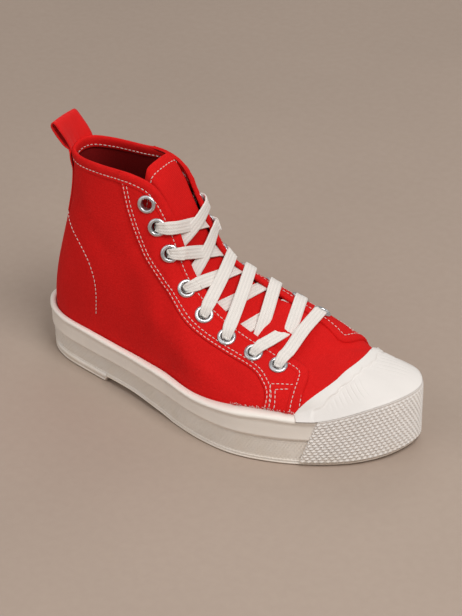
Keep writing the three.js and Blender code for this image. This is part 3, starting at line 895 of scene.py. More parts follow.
def build_toe_cap():
    """The smooth cap with its raised straight border and the fine arcs at its corners."""
    ends = []
    for side in (-1, 1):
        def reach(s, side=side):
            place = signed(s, side)
            return past_cap(skin(place, level_on_skin(place, CAP_LIP)))
        ends.append(solve(reach, 8.0, 12.5, [0.05])[0])
    station = np.linspace(ends[0], AROUND - ends[1], 300)
    rim = outline(station, BUMPER_FACE)[0]
    lip = CAP_LIP + toe_rise(rim[:, 0])
    low = level_on_skin(station, lip)
    high = solve(lambda v: -past_cap(skin(station, v)), low, 0.97, np.zeros(station.shape))
    share = np.linspace(0, 1, 110)[:, None]
    v = low * (1 - share) + high * share
    at = np.broadcast_to(station, v.shape)
    spots = skin(at, v)
    from_edge = past_cap(spots)
    corners = spots[-1, 0], spots[-1, -1]
    grow = np.full(v.shape, 1.55)
    border = 6.0 + 0.55 * np.sin(spots[..., 1] * 0.33) + 0.5 * np.sin(spots[..., 1] * 0.71 + 1)
    grow += 0.5 * (1 - ease(from_edge, border - 0.5, border + 0.5)) * ease(share, 0.02, 0.1)
    grow -= 0.35 * bump(from_edge, border + 0.9, 0.6)
    nearest = np.minimum(*(np.linalg.norm(spots - corner, axis=-1) for corner in corners))
    phase = np.abs((nearest / ARC_PITCH) % 1 - 0.5)
    arcs = ease(0.16 - phase, 0, 0.12) * ease(nearest, 9, 13) * (1 - ease(nearest, 40, 50))
    grow -= 0.28 * arcs * ease(from_edge, border + 1, border + 3.5) * ease(spots[..., 2] - lip, 1.5, 4)
    grow -= 0.35 * (1 - ease(share, 0, 0.05))
    surface = off_skin(at, v, grow)
    flare = (rim - surface[0, :, :2]) * ((1 - np.minimum(share / CAP_FLARE, 1)) ** 2)[..., None]
    surface[..., :2] += flare
    edge = [
        off_skin(at[-1], v[-1], grow[-1] - drop) + np.array([-back, 0, 0])
        for drop, back in ((0.15, 0.35), (0.7, 0.5), (3.0, 0.4))
    ]
    foot = off_skin(at[0], v[0], np.full(station.shape, -1.0))
    grid = np.concatenate([foot[None], surface, np.array(edge)], 0)
    normals = skin_normal(at, v)
    out = np.concatenate([normals[:1], normals, np.repeat(normals[-1:], 3, 0)], 0)
    bm = net(grid, out=out)
    return make("cap", bm, ("cap_rubber",), ["toe_cap"], wall=0.9)


ARC_PITCH = 3.1


def build_insole():
    """The footbed, slightly dished, filling the inside of the canvas."""
    station = np.linspace(0, HEEL_TO_TOE, 120)
    share = np.linspace(0, 1, 26)
    flat = across_sole(station, -(SEAT + 3.0), share)
    dish = 1.2 * np.sin(np.pi * share)
    points = stand(flat, 18.6 - dish + 0.6 * bump(flat[..., 0], 110, 30))
    bm = net(points, out=np.broadcast_to([0.0, 0, 1], points.shape))
    return make("footbed", bm, ("footbed",), ["insole"], wall=2.6)


# ------------------------------------------------------------ eyelets
# Half section of a rolled eyelet: radius and height off the eyestay, mm.
RING = (
    (3.65, -3.2), (3.65, 0.35), (3.85, 0.95), (4.35, 1.3), (4.95, 1.32), (5.6, 1.05), (6.05, 0.55),
    (6.1, 0.05), (5.7, 0.02), (4.3, 0.02), (4.2, -2.3), (5.6, -2.45), (5.9, -2.8), (5.3, -3.15), (4.3, -3.4),
)


def build_eyelets(side):
    """Eight rolled metal rings through one facing."""
    for number, (station, v) in enumerate(eyelet_places(side), 1):
        bm = bmesh.new()
        ring = [bm.verts.new((radius * 0.001, 0, height * 0.001)) for radius, height in RING]
        edges = [bm.edges.new((one, other)) for one, other in zip(ring, ring[1:] + ring[:1])]
        bmesh.ops.spin(
            bm, geom=ring + edges, cent=(0, 0, 0), axis=(0, 0, 1), dvec=(0, 0, 0),
            angle=2 * math.pi, steps=36, use_merge=True, use_duplicate=False,
        )
        weld(bm)
        bmesh.ops.recalc_face_normals(bm, faces=bm.faces[:])
        turn = Vector(skin_normal(station, v)).to_track_quat("Z", "Y").to_matrix().to_4x4()
        spot = metres(cloth(station, v, 0.12))
        bmesh.ops.transform(bm, matrix=Matrix.Translation(spot) @ turn, verts=bm.verts[:])
        name = f"{WORD[side]}_{number}"
        make(f"ring_{name}", bm, ("metal",), [f"eyelet_{name}"])


# ------------------------------------------------------------ lace
# Each run of lace: side and eyelet, over or under the facing, for both ends, and how
# high it rides at its middle, mm.
LACE_RUNS = {
    "lace_bar": ((-1, 8, "over", 1, 8, "over", 1.4),),
    "lace_crossing_1": ((1, 7, "over", -1, 8, "under", 1.0), (-1, 7, "over", 1, 8, "under", -0.9)),
    "lace_crossing_2": ((1, 6, "over", -1, 7, "under", 1.0), (1, 7, "under", -1, 6, "under", -1.4)),
    "lace_top_3": ((-1, 6, "over", 1, 5, "over", 1.5),),
    "lace_below_3": ((1, 6, "under", -1, 5, "under", -1.4),),
    "lace_crossing_4": ((-1, 5, "over", 1, 4, "over", 1.5), (-1, 4, "over", 1, 5, "under", -0.8)),
    "lace_crossing_5": ((-1, 3, "over", 1, 4, "under", -0.9), (1, 3, "over", -1, 4, "under", 1.0)),
    "lace_crossing_6": ((1, 2, "over", -1, 3, "under", 1.0), (-1, 2, "over", 1, 3, "under", -0.9)),
}
def crossings(side_a, hole_a, station_a, side_b, hole_b, station_b):
    """Where a taut lace between two eyelets crosses the throat's edges: the shortest way."""
    ahead = np.linspace(-0.4, 1.6, 61)
    near = signed(abs(station_a) + ahead, side_a)
    far = signed(abs(station_b) + ahead, side_b)
    near_at, far_at = skin(near, 1.0), skin(far, 1.0)
    way = np.linalg.norm(near_at[:, None] - far_at[None], axis=2)
    way = way + np.linalg.norm(near_at - hole_a, axis=1)[:, None]
    way = way + np.linalg.norm(far_at - hole_b, axis=1)[None, :]
    row, column = np.unravel_index(way.argmin(), way.shape)
    return float(near[row]), float(far[column])


def lace_end(side, number, way, edge_station):
    """Knots from inside one eyelet out to the throat's edge, with the upward there."""
    station, v = eyelet_places(side)[number - 1]
    hole, up = skin(station, v), skin_normal(station, v)
    edge, edge_up = skin(edge_station, 1.0), skin_normal(edge_station, 0.96)
    ahead = edge - hole
    ahead = unit(ahead - up * (ahead @ up))
    if way == "over":
        return [
            (hole + up * -3.0 - ahead * 1.6, ahead * 0.7 + up * 0.7, 0.62),
            (hole + up * 0.2 + ahead * 0.6, up * 0.8 - ahead * 0.6, 0.74),
            (hole + up * 1.9 + ahead * 4.0, up, 0.9),
            (hole + up * 2.2 + ahead * 7.5, up, 1.0),
            (edge + edge_up * 1.9, edge_up, 1.0),
        ]
    return [
        (hole + up * 0.2 - ahead * 0.6, up * -0.4 + ahead * 0.9, 0.62),
        (hole + up * -2.9 + ahead * 0.4, up * 0.5 + ahead * 0.7, 0.82),
        (hole + up * -3.8 + ahead * 4.0, up, 0.96),
        (edge + edge_up * -3.3, edge_up, 1.0),
    ]


# The lace's section in half widths and half thicknesses, a thicker cord along each side.
LACE_SECTION = (
    (-1, 0), (-0.97, 0.55), (-0.86, 0.92), (-0.6, 1.0), (-0.3, 1.05), (0, 0.98),
    (0.3, 1.05), (0.6, 1.0), (0.86, 0.92), (0.97, 0.55), (1, 0), (0.97, -0.55),
    (0.86, -0.92), (0.45, -1), (0, -0.95), (-0.45, -1), (-0.86, -0.92), (-0.97, -0.55), (-1, 0),
)


def lace_ribbon(side_a, number_a, way_a, side_b, number_b, way_b, ride):
    """One run of flat lace between two eyelets, soft at its edges and narrowed in the holes."""
    station_a, v_a = eyelet_places(side_a)[number_a - 1]
    station_b, v_b = eyelet_places(side_b)[number_b - 1]
    spot_a, spot_b = skin(station_a, v_a), skin(station_b, v_b)
    leave, arrive = crossings(side_a, spot_a, station_a, side_b, spot_b, station_b)
    first = lace_end(side_a, number_a, way_a, leave)
    last = lace_end(side_b, number_b, way_b, arrive)
    up = unit(first[-1][1] + last[-1][1])
    middle = (first[-1][0] + last[-1][0]) / 2 + up * (ride + 1.3)
    knots = first + [(middle, up, 1.0)] + last[::-1]
    count = 58
    line = smooth_line([knot[0] for knot in knots], count)
    ups = smooth_line([unit(knot[1]) for knot in knots], count)
    widths = smooth_line([[knot[2]] for knot in knots], count)[:, 0] * mm("lace_width") / 2
    along = unit(np.gradient(line, axis=0))
    across = unit(np.cross(ups, along))
    ups = np.cross(along, across)
    half = mm("lace_thickness") / 2
    run = walked(line)
    pinch = 1 - widths / (mm("lace_width") / 2)
    rows, uvs = [], []
    for wide, thick in LACE_SECTION:
        curl = pinch * 3.0 * (wide * wide - 0.4)
        wave = 0.1 * np.sin(run * 1.1 + 2 * wide + number_a)
        lift = thick * half * (1 + 0.6 * pinch) + curl + wave
        rows.append(line + across * (wide * widths)[:, None] + ups * lift[:, None])
        uvs.append(np.stack([run, np.full(count, wide * mm("lace_width") / 2)], 1))
    return seal(net(np.stack(rows, 1), uv=np.stack(uvs, 1)))


def build_laces():
    """The flat cotton lace, criss-crossed up to the second eyelets with its ends inside."""
    for name, runs in LACE_RUNS.items():
        bm = join([lace_ribbon(*run) for run in runs])
        make(f"flat_{name}", bm, ("lace",), [name.replace("crossing", "cross")])


# ------------------------------------------------------------ stitches
def stitch_along(bm, station, v, grow, chance):
    """A row of raised stitches along places on the cloth."""
    line = cloth(station, v, np.broadcast_to(grow, station.shape))
    stitch_line(bm, line, skin_normal(station, np.minimum(v, 0.995)), chance)


def stitch_line(bm, line, ups, chance):
    """A row of raised stitches along a line of points."""
    pitch, length, thick = mm("stitch_pitch"), mm("stitch_length"), mm("stitch_width")
    places = even_steps(line, pitch)
    spots, normals = pick(line, places), pick(ups, places)
    ahead = pick(line, np.minimum(places + 0.3, len(line) - 1.001)) - pick(line, np.maximum(places - 0.3, 0))
    for spot, normal, way in zip(spots, normals, ahead):
        way = Vector(way).normalized()
        up = Vector(normal)
        side = up.cross(way).normalized()
        way = (way + side * chance.uniform(-0.07, 0.07)).normalized()
        side = up.cross(way).normalized()
        up = way.cross(side)
        turn = Matrix((way, side, up)).transposed().to_4x4()
        scale = Matrix.Diagonal((length * chance.uniform(0.92, 1.05) / 2, thick / 2, thick * 0.42, 1))
        place = Matrix.Translation(Vector(metres(spot + normal * 0.06)))
        matrix = place @ turn @ MILLIMETRES @ scale @ END_ON
        bmesh.ops.create_uvsphere(bm, u_segments=6, v_segments=4, radius=1, matrix=matrix)


MILLIMETRES = Matrix.Scale(0.001, 4)
END_ON = Matrix.Rotation(math.pi / 2, 4, "Y")  # the sphere's poles point along the stitch


def build_stitches():
    """Every row of white stitching on the canvas."""
    chance = random.Random(7)
    bm = bmesh.new()
    station, v, way = edge_inward()
    at, level = slide(station, v, way, 5.5)
    stitch_along(bm, at, level, edge_base(at) + 0.3, chance)
    make("stitching_edge", bm, ("thread",))
    bm = bmesh.new()
    keep = np.abs(station) < 5.5
    at, level = slide(station[keep], v[keep], way[keep], 5.5)
    line = cloth(at, level, edge_base(at) - 2.62)
    stitch_line(bm, line, -skin_normal(at, level), chance)
    make("stitching_lining", bm, ("thread",))
    for side in (-1, 1):
        bm = bmesh.new()
        rear_station, rear_v, front_at, front_v = eyestay_lines(side, 300)
        run = skin(signed(rear_station, side), rear_v)
        front = skin(signed(front_at, side), front_v)
        across = front - run
        up = skin_normal(signed(rear_station, side), rear_v)
        along = np.gradient(run, axis=0)
        toward = np.cross(up, along)
        toward = unit(toward * np.sign((toward * across).sum(1, keepdims=True)))
        for inset in (1.7, 4.3):
            at, level = slide(signed(rear_station, side), rear_v, toward, inset)
            ok = (level > 0.22) & (level < 0.985)
            stitch_along(bm, at[ok], level[ok], 0.0, chance)
        shift = 0 if side < 0 else 0.16
        for line in TAB_LINES:
            at, level = smooth_line(line, 40).T
            stitch_along(bm, signed(at + shift, side), level, 0.05, chance)
        level = COUNTER_TOP - (COUNTER_TOP - 0.24) * np.linspace(0.17, 1, 240) ** 2
        stitch_along(bm, signed(counter_line(level), side), level, QUARTER + 0.35, chance)
        make(f"stitching_{WORD[side]}", bm, ("thread",))
    rows, ups = TONGUE_ROWS
    bm = bmesh.new()
    hem = len(rows) - 5
    columns = slice(9, rows.shape[1] - 9)
    stitch_line(bm, rows[hem, columns], ups[hem, columns], chance)
    make("stitching_tongue", bm, ("thread",))


# The front tab's stitched box: places as station and v.
TAB_LINES = (
    ((9.12, 0.6), (9.4, 0.63), (9.9, 0.66)),
    ((9.2, 0.55), (9.4, 0.575), (9.62, 0.595)),
    ((9.12, 0.6), (9.07, 0.45), (9.0, 0.28)),
    ((9.22, 0.55), (9.18, 0.42), (9.1, 0.28)),
    ((9.62, 0.595), (9.56, 0.45), (9.45, 0.28)),
    ((9.9, 0.66), (9.8, 0.48), (9.68, 0.31)),
)


def build_fray():
    """Short loose threads along the canvas edge above the side band."""
    chance = random.Random(19)
    for side in (-1, 1):
        for word, finish, slot in (("white", "thread", "cotton"), ("red", "canvas", "canvas")):
            bm = bmesh.new()
            for _ in range(110):
                loose_thread(bm, side, chance)
            make(f"fray_{word}_{WORD[side]}", bm, (finish,))


def loose_thread(bm, side, chance):
    """One short thread at a chance place along the hem, lying any way."""
    station = signed(chance.uniform(8.1, 9.85), side)
    hem = band_top(outline(station)[0][0])
    level = float(level_on_skin(station, hem + chance.uniform(-0.4, 1.2)))
    spot = cloth(station, level, 0.15 + chance.uniform(0, 0.8))
    up = Vector(skin_normal(station, level))
    way = Vector([chance.uniform(-1, 1), chance.uniform(-0.6, 0.6), chance.uniform(-1, 0.9)])
    turn = way.normalized().to_track_quat("Z", "Y").to_matrix().to_4x4()
    scale = Matrix.Diagonal((0.16, 0.16, chance.uniform(0.5, 1.15), 1))
    place = Matrix.Translation(Vector(metres(spot)) + up * 0.0002)
    bmesh.ops.create_uvsphere(
        bm, u_segments=4, v_segments=4, radius=1, matrix=place @ turn @ MILLIMETRES @ scale,
    )


# ------------------------------------------------------------ finishes
def feed(tree, target, value):
    """Links a socket to another, or sets it to a plain value."""
    if isinstance(value, bpy.types.NodeSocket):
        tree.links.new(value, target)
    else:
        target.default_value = value


def node(tree, kind, inputs=None, **settings):
    """A node with these inputs and settings."""
    made = tree.nodes.new(kind)
    for name, value in settings.items():
        setattr(made, name, value)
    for name, value in (inputs or {}).items():
        feed(tree, made.inputs[name], value)
    return made


def calc(tree, operation, first, second=0.0):
    """A sum, product or other plain operation on two values."""
    made = node(tree, "ShaderNodeMath", operation=operation)
    feed(tree, made.inputs[0], first)
    feed(tree, made.inputs[1], second)
    return made.outputs[0]


def spread_over(tree, value, low, high, to_low=0.0, to_high=1.0):
    """A value carried from one range into another."""
    made = node(tree, "ShaderNodeMapRange", {
        "Value": value, "From Min": low, "From Max": high, "To Min": to_low, "To Max": to_high,
    })
    return made.outputs["Result"]


def tint(tree, share, first, second):
    """A colour between two, by share."""
    made = node(tree, "ShaderNodeMix", data_type="RGBA")
    feed(tree, made.inputs[0], share)
    feed(tree, made.inputs[6], first)
    feed(tree, made.inputs[7], second)
    return made.outputs[2]


def group(name, inputs, outputs):
    """An empty node group with these sockets, and its two end nodes."""
    tree = bpy.data.node_groups.new(name, "ShaderNodeTree")
    for label, kind, default in inputs:
        socket = tree.interface.new_socket(name=label, in_out="INPUT", socket_type=kind)
        if default is not None:
            socket.default_value = default
    for label, kind in outputs:
        tree.interface.new_socket(name=label, in_out="OUTPUT", socket_type=kind)
    return tree, tree.nodes.new("NodeGroupInput"), tree.nodes.new("NodeGroupOutput")


def placed(tree, name, inputs):
    """One of the shared groups, placed in a material."""
    return node(tree, "ShaderNodeGroup", inputs, node_tree=GROUPS[name]())


def once(build):
    """Builds a group or a material the first time it is asked for."""
    kept = []

    def give():
        if not kept:
            kept.append(build())
        return kept[0]
    return give


def diagonal_weave():
    """Fine twill: slanting ridges broken up by the threads across them."""
    tree, into, out = group(
        "Diagonal weave",
        [("Vector", "NodeSocketVector", None), ("Ridges", "NodeSocketFloat", 420.0)],
        [("Height", "NodeSocketFloat")],
    )
    ridge = node(tree, "ShaderNodeTexWave", {
        "Vector": into.outputs["Vector"], "Scale": into.outputs["Ridges"], "Distortion": 0.6,
    }, bands_direction="DIAGONAL")
    turned = node(tree, "ShaderNodeMapping", {"Vector": into.outputs["Vector"], "Rotation": (0.0, 1.2, 0.5)})
    thread = node(tree, "ShaderNodeTexWave", {
        "Vector": turned.outputs[0], "Scale": calc(tree, "MULTIPLY", into.outputs["Ridges"], 1.3),
    }, bands_direction="X")
    crossed = spread_over(tree, thread.outputs["Fac"], 0, 1, 0.55, 1.0)
    feed(tree, out.inputs["Height"], calc(tree, "MULTIPLY", ridge.outputs["Fac"], crossed))
    return tree


def mottle():
    """Slow uneven patches with a finer grain in them, from 0 to 1."""
    tree, into, out = group(
        "Mottle",
        [
            ("Vector", "NodeSocketVector", None),
            ("Patches", "NodeSocketFloat", 30.0),
            ("Grain", "NodeSocketFloat", 600.0),
        ],
        [("Patch", "NodeSocketFloat"), ("Grain", "NodeSocketFloat")],
    )
    for scale, result, detail in (("Patches", "Patch", 3.0), ("Grain", "Grain", 2.0)):
        noise = node(tree, "ShaderNodeTexNoise", {
            "Vector": into.outputs["Vector"], "Scale": into.outputs[scale], "Detail": detail,
        })
        feed(tree, out.inputs[result], spread_over(tree, noise.outputs["Fac"], 0.3, 0.7))
    return tree


def floor_dust():
    """Dust low down, thickest at the floor and patchy above it."""
    tree, into, out = group(
        "Floor dust",
        [("Vector", "NodeSocketVector", None), ("Reach", "NodeSocketFloat", 0.014)],
        [("Dust", "NodeSocketFloat")],
    )
    height = node(tree, "ShaderNodeSeparateXYZ", {"Vector": into.outputs["Vector"]}).outputs["Z"]
    low = calc(tree, "SUBTRACT", 1.0, calc(tree, "DIVIDE", height, into.outputs["Reach"]))
    settings = {"Vector": into.outputs["Vector"], "Scale": 90.0, "Detail": 4.0}
    patch = node(tree, "ShaderNodeTexNoise", settings)
    dust = calc(tree, "MULTIPLY", low, spread_over(tree, patch.outputs["Fac"], 0.35, 0.7))
    feed(tree, out.inputs["Dust"], node(tree, "ShaderNodeClamp", {"Value": dust}).outputs[0])
    return tree


GROUPS = {"weave": once(diagonal_weave), "mottle": once(mottle), "dust": once(floor_dust)}


def start(name, uv=False):
    """A material with its shader and the coordinates its patterns read."""
    material = bpy.data.materials.new(name)
    material.use_nodes = True
    tree = material.node_tree
    shader = tree.nodes["Principled BSDF"]
    if uv:
        place = node(tree, "ShaderNodeUVMap", uv_map="cloth").outputs["UV"]
    else:
        place = node(tree, "ShaderNodeTexCoord").outputs["Object"]
    return material, tree, shader, place


def add_share(tree, first, second, share):
    """The first height with a share of the second on top."""
    return calc(tree, "ADD", first, calc(tree, "MULTIPLY", second, share))


def faded(tree, mask, share, first, second):
    """The first colour, taken towards the second by a share of the mask."""
    return tint(tree, calc(tree, "MULTIPLY", mask, share), first, second)


def waves(tree, value, rate):
    """Even waves from 0 to 1 along a value."""
    return spread_over(tree, calc(tree, "SINE", calc(tree, "MULTIPLY", value, rate)), -1, 1)


def coat(tree, shader, colour, grain, smooth, rough):
    """Sets the colour, and a roughness that follows the grain from smooth to rough."""
    feed(tree, shader.inputs["Base Color"], colour)
    feed(tree, shader.inputs["Roughness"], spread_over(tree, grain, 0, 1, smooth, rough))


def blotched(tree, spots, colour, dark, light):
    """A colour that drifts between darker and lighter patches."""
    return tint(tree, spots.outputs["Patch"], shaded(colour, dark), shaded(colour, light))


def mottled(tree, place, patches, grain):
    """Uneven patches and grain at these scales."""
    return placed(tree, "mottle", {"Vector": place, "Patches": patches, "Grain": grain})


def shaded(colour, by):
    """A colour made darker or lighter."""
    return tuple(min(1.0, channel * by) for channel in colour[:3]) + (1.0,)


def raise_by(tree, shader, height, distance):
    """Raises the surface's look by a height; the distance is in metres."""
    made = node(tree, "ShaderNodeBump", {"Height": height, "Distance": distance, "Strength": 1.0})
    feed(tree, shader.inputs["Normal"], made.outputs["Normal"])


def colours():
    """The colours in the panel."""
    return bpy.context.scene.sneaker_colours


def woven(name, colour, ridges, sheen, depth):
    """Dyed cotton cloth: twill, uneven dye, faded ridges and a little fluff."""
    material, tree, shader, place = start(name)
    spots = mottled(tree, place, 26.0, 900.0)
    grain = spots.outputs["Grain"]
    ridge = placed(tree, "weave", {"Vector": place, "Ridges": ridges}).outputs["Height"]
    worn = faded(tree, ridge, 0.5, blotched(tree, spots, colour, 0.86, 1.08), shaded(colour, 1.22))
    coat(tree, shader, faded(tree, grain, 0.35, worn, shaded(colour, 0.7)), grain, 0.78, 0.95)
    shader.inputs["Sheen Weight"].default_value = sheen
    shader.inputs["Sheen Roughness"].default_value = 0.5
    shader.inputs["Sheen Tint"].default_value = shaded(colour, 1.5)
    shader.inputs["Specular IOR Level"].default_value = 0.15
    raise_by(tree, shader, add_share(tree, ridge, grain, 0.6), depth)
    return material


def canvas():
    return woven("Red canvas", colours().canvas, 430.0, 0.04, 0.00012)


def lining():
    return woven("Dark red lining", colours().lining, 620.0, 0.05, 0.00008)


def footbed():
    return woven("Footbed cloth", colours().footbed, 500.0, 0.05, 0.0001)


def tape():
    """Woven tape: herringbone along its length."""
    material, tree, shader, place = start("Red tape", uv=True)
    colour = colours().canvas
    parts = node(tree, "ShaderNodeSeparateXYZ", {"Vector": place})
    fold = calc(tree, "PINGPONG", parts.outputs["Y"], 0.002)
    slant = calc(tree, "ADD", parts.outputs["X"], fold)
    ridge = waves(tree, slant, 7400.0)
    spots = mottled(tree, place, 60.0, 900.0)
    worn = faded(tree, ridge, 0.4, blotched(tree, spots, colour, 0.9, 1.1), shaded(colour, 1.25))
    coat(tree, shader, worn, spots.outputs["Grain"], 0.7, 0.9)
    shader.inputs["Sheen Weight"].default_value = 0.1
    shader.inputs["Specular IOR Level"].default_value = 0.15
    raise_by(tree, shader, add_share(tree, ridge, spots.outputs["Grain"], 0.5), 0.00012)
    return material


def moulded(name, colour, rough, dust_reach, grain_depth):
    """Moulded rubber: faint marbling, fine skin and dust where it meets the floor."""
    material, tree, shader, place = start(name)
    spots = mottled(tree, place, 34.0, 1400.0)
    dust = placed(tree, "dust", {"Vector": place, "Reach": dust_reach})
    warm = tuple(channel * share for channel, share in zip(colour[:3], (0.9, 0.83, 0.72))) + (1.0,)
    dusty = faded(tree, dust.outputs["Dust"], 0.45, blotched(tree, spots, colour, 0.95, 1.03), warm)
    coat(tree, shader, dusty, spots.outputs["Grain"], rough, rough + 0.16)
    shader.inputs["Specular IOR Level"].default_value = 0.4
    height = add_share(tree, spots.outputs["Patch"], spots.outputs["Grain"], 0.25)
    raise_by(tree, shader, height, grain_depth)
    return material


def rubber():
    return moulded("Side rubber", colours().rubber, 0.5, 0.03, 0.00012)


def studs():
    return moulded("Studded rubber", shaded(colours().cap, 0.97), 0.48, 0.02, 0.00004)


def cap_rubber():
    return moulded("Cap rubber", colours().cap, 0.42, 0.01, 0.00010)


def lace():
    """Flat cotton braid: rows of chevrons and a thicker cord at each side."""
    material, tree, shader, place = start("Cotton lace", uv=True)
    colour = colours().lace
    parts = node(tree, "ShaderNodeSeparateXYZ", {"Vector": place})
    fold = calc(tree, "PINGPONG", parts.outputs["Y"], 0.0011)
    slant = calc(tree, "ADD", calc(tree, "MULTIPLY", parts.outputs["X"], 0.8), fold)
    seam = waves(tree, parts.outputs["Y"], 2856.0)
    spots = mottled(tree, place, 120.0, 1500.0)
    height = add_share(tree, calc(tree, "MULTIPLY", waves(tree, slant, 5200.0), 0.6), seam, 0.8)
    body = faded(tree, height, 0.7, shaded(colour, 0.86), shaded(colour, 1.05))
    soiled = faded(tree, spots.outputs["Patch"], 0.25, body, shaded(colour, 0.85))
    coat(tree, shader, soiled, spots.outputs["Grain"], 0.8, 0.95)
    shader.inputs["Sheen Weight"].default_value = 0.15
    shader.inputs["Specular IOR Level"].default_value = 0.2
    raise_by(tree, shader, add_share(tree, height, spots.outputs["Grain"], 0.4), 0.00018)
    return material


def thread():
    """Twisted sewing thread."""
    material, tree, shader, place = start("White thread")
    colour = colours().thread
    settings = {"Vector": place, "Scale": 900.0, "Distortion": 1.0}
    twist = node(tree, "ShaderNodeTexWave", settings, bands_direction="DIAGONAL").outputs["Fac"]
    spots = mottled(tree, place, 80.0, 1800.0)
    body = tint(tree, twist, shaded(colour, 0.85), shaded(colour, 1.0))
    soiled = faded(tree, spots.outputs["Patch"], 0.3, body, shaded(colour, 0.75))
    coat(tree, shader, soiled, spots.outputs["Grain"], 0.6, 0.8)
    raise_by(tree, shader, twist, 0.0001)
    return material


def metal():
    """Rolled nickel: dulled in patches, with a faint fine grain."""
    material, tree, shader, place = start("Nickel rings")
    colour = colours().metal
    spots = mottled(tree, place, 300.0, 2600.0)
    coat(tree, shader, blotched(tree, spots, colour, 0.82, 1.05), spots.outputs["Patch"], 0.24, 0.42)
    feed(tree, shader.inputs["Metallic"], spread_over(tree, spots.outputs["Grain"], 0, 1, 0.92, 1.0))
    raise_by(tree, shader, spots.outputs["Grain"], 0.00003)
    return material


def floor_plaster():
    """A plain pale floor with a faint cloud in it."""
    material, tree, shader, place = start("Pale floor")
    colour = colours().floor
    spots = mottled(tree, place, 4.0, 160.0)
    body = blotched(tree, spots, colour, 0.96, 1.03)
    grain = spots.outputs["Grain"]
    coat(tree, shader, faded(tree, grain, 0.12, body, shaded(colour, 0.85)), grain, 0.8, 0.95)
    return material


FINISHES = {build.__name__: once(build) for build in (
    canvas, lining, footbed, tape, rubber, studs, cap_rubber, lace, thread, metal, floor_plaster,
)}


# ------------------------------------------------------------ stage
EYE = Vector((0.6045, -0.8534, 0.7511))
AIM = Vector((0.006, 0.006, 0.066))
ROLL = -0.044
LENS = 113.0


def build_stage():
    """The floor, the soft studio lights and the camera."""
    scene = bpy.context.scene
    scene.view_settings.view_transform = "Standard"
    bm = bmesh.new()
    bmesh.ops.create_grid(bm, x_segments=2, y_segments=2, size=3.0)
    mesh = bpy.data.meshes.new("floor")
    bm.to_mesh(mesh)
    bm.free()
    floor = bpy.data.objects.new("floor", mesh)
    scene.collection.objects.link(floor)
    mesh.materials.append(FINISHES["floor_plaster"]())
    world = bpy.data.worlds.new("studio")
    world.use_nodes = True
    sky = world.node_tree.nodes["Background"]
    sky.inputs["Color"].default_value = (1.0, 0.97, 0.94, 1)
    sky.inputs["Strength"].default_value = 0.3
    scene.world = world
    for name, spot, size, power in (
        ("key", (0.9, -0.35, 1.5), 0.8, 19.0),
        ("fill", (-0.7, -1.3, 1.2), 1.6, 6.5),
        ("rim", (-0.5, 1.2, 1.3), 1.0, 4.0),
    ):
        light = bpy.data.lights.new(name, "AREA")
        light.size = size
        light.energy = power
        lamp = bpy.data.objects.new(name, light)
        lamp.location = spot
        lamp.rotation_euler = (Vector((0, 0, 0.05)) - Vector(spot)).to_track_quat("-Z", "Y").to_euler()
        scene.collection.objects.link(lamp)
    view = bpy.data.cameras.new("camera")
    view.lens = LENS
    view.sensor_width = 36.0
    view.clip_start = 0.05
    camera = bpy.data.objects.new("camera", view)
    camera.location = EYE
    turn = (AIM - EYE).to_track_quat("-Z", "Y") @ Quaternion((0, 0, 1), ROLL)
    camera.rotation_euler = turn.to_euler()
    scene.collection.objects.link(camera)
    scene.camera = camera


# ------------------------------------------------------------ add-on
def length(label, about, default):
    return FloatProperty(name=label, description=about, default=default, min=0.0, unit="LENGTH", precision=5)


def paint(label, about, default):
    return FloatVectorProperty(
        name=label, description=about, default=default, size=3, min=0.0, max=1.0, subtype="COLOR",
    )


class SneakerSizes(bpy.types.PropertyGroup):
    stitch_pitch: length("Stitch pitch", "From one stitch to the next", 0.003)
    stitch_length: length("Stitch length", "Visible length of a stitch", 0.0023)
    stitch_width: length("Stitch width", "Thickness of the sewing thread", 0.00062)
    binding_width: length("Edge fold", "Width of the folded band along the collar and facings", 0.008)
    rib_pitch: length("Band stud pitch", "From one small stud of the side band to the next", 0.0024)
    rib_depth: length("Band stud depth", "Depth of the side band's small studs", 0.0008)
    stud_pitch: length("Stud pitch", "From one stud of the bumper to the next", 0.0032)
    stud_height: length("Stud height", "How far a stud stands out", 0.0011)
    lace_width: length("Lace width", "Width of the flat lace", 0.0086)
    lace_thickness: length("Lace thickness", "Thickness of the flat lace", 0.0013)


class SneakerColours(bpy.types.PropertyGroup):
    canvas: paint("Canvas", "Dyed canvas of the upper", (0.72, 0.01, 0.009))
    lining: paint("Lining", "Cloth inside the upper", (0.22, 0.006, 0.006))
    footbed: paint("Footbed", "Cloth on the footbed", (0.45, 0.4, 0.33))
    rubber: paint("Side rubber", "Tread and side band", (0.93, 0.86, 0.78))
    cap: paint("Toe rubber", "Bumper and toe cap", (0.84, 0.79, 0.745))
    lace: paint("Lace", "Flat cotton lace", (0.9, 0.84, 0.78))
    thread: paint("Thread", "Sewing thread", (0.85, 0.78, 0.72))
    metal: paint("Metal", "Eyelet rings", (0.72, 0.74, 0.76))
    floor: paint("Floor", "Plain floor of the stage", (0.44, 0.345, 0.28))


class SNEAKER_OT_stage(bpy.types.Operator):
    """Floor, lights and camera"""
    bl_idname = "sneaker.stage"
    bl_label = "Stage"

    def execute(self, context):
        build_stage()
        return {"FINISHED"}


class SNEAKER_OT_vamp(bpy.types.Operator):
    """Vamp and tongue in one sheet of canvas"""
    bl_idname = "sneaker.vamp"
    bl_label = "Vamp and Tongue"

    def execute(self, context):
        build_vamp()
        return {"FINISHED"}


class SNEAKER_OT_quarters(bpy.types.Operator):
    """Quarters and heel counter"""
    bl_idname = "sneaker.quarters"
    bl_label = "Quarters"

    def execute(self, context):
        build_quarters()
        return {"FINISHED"}


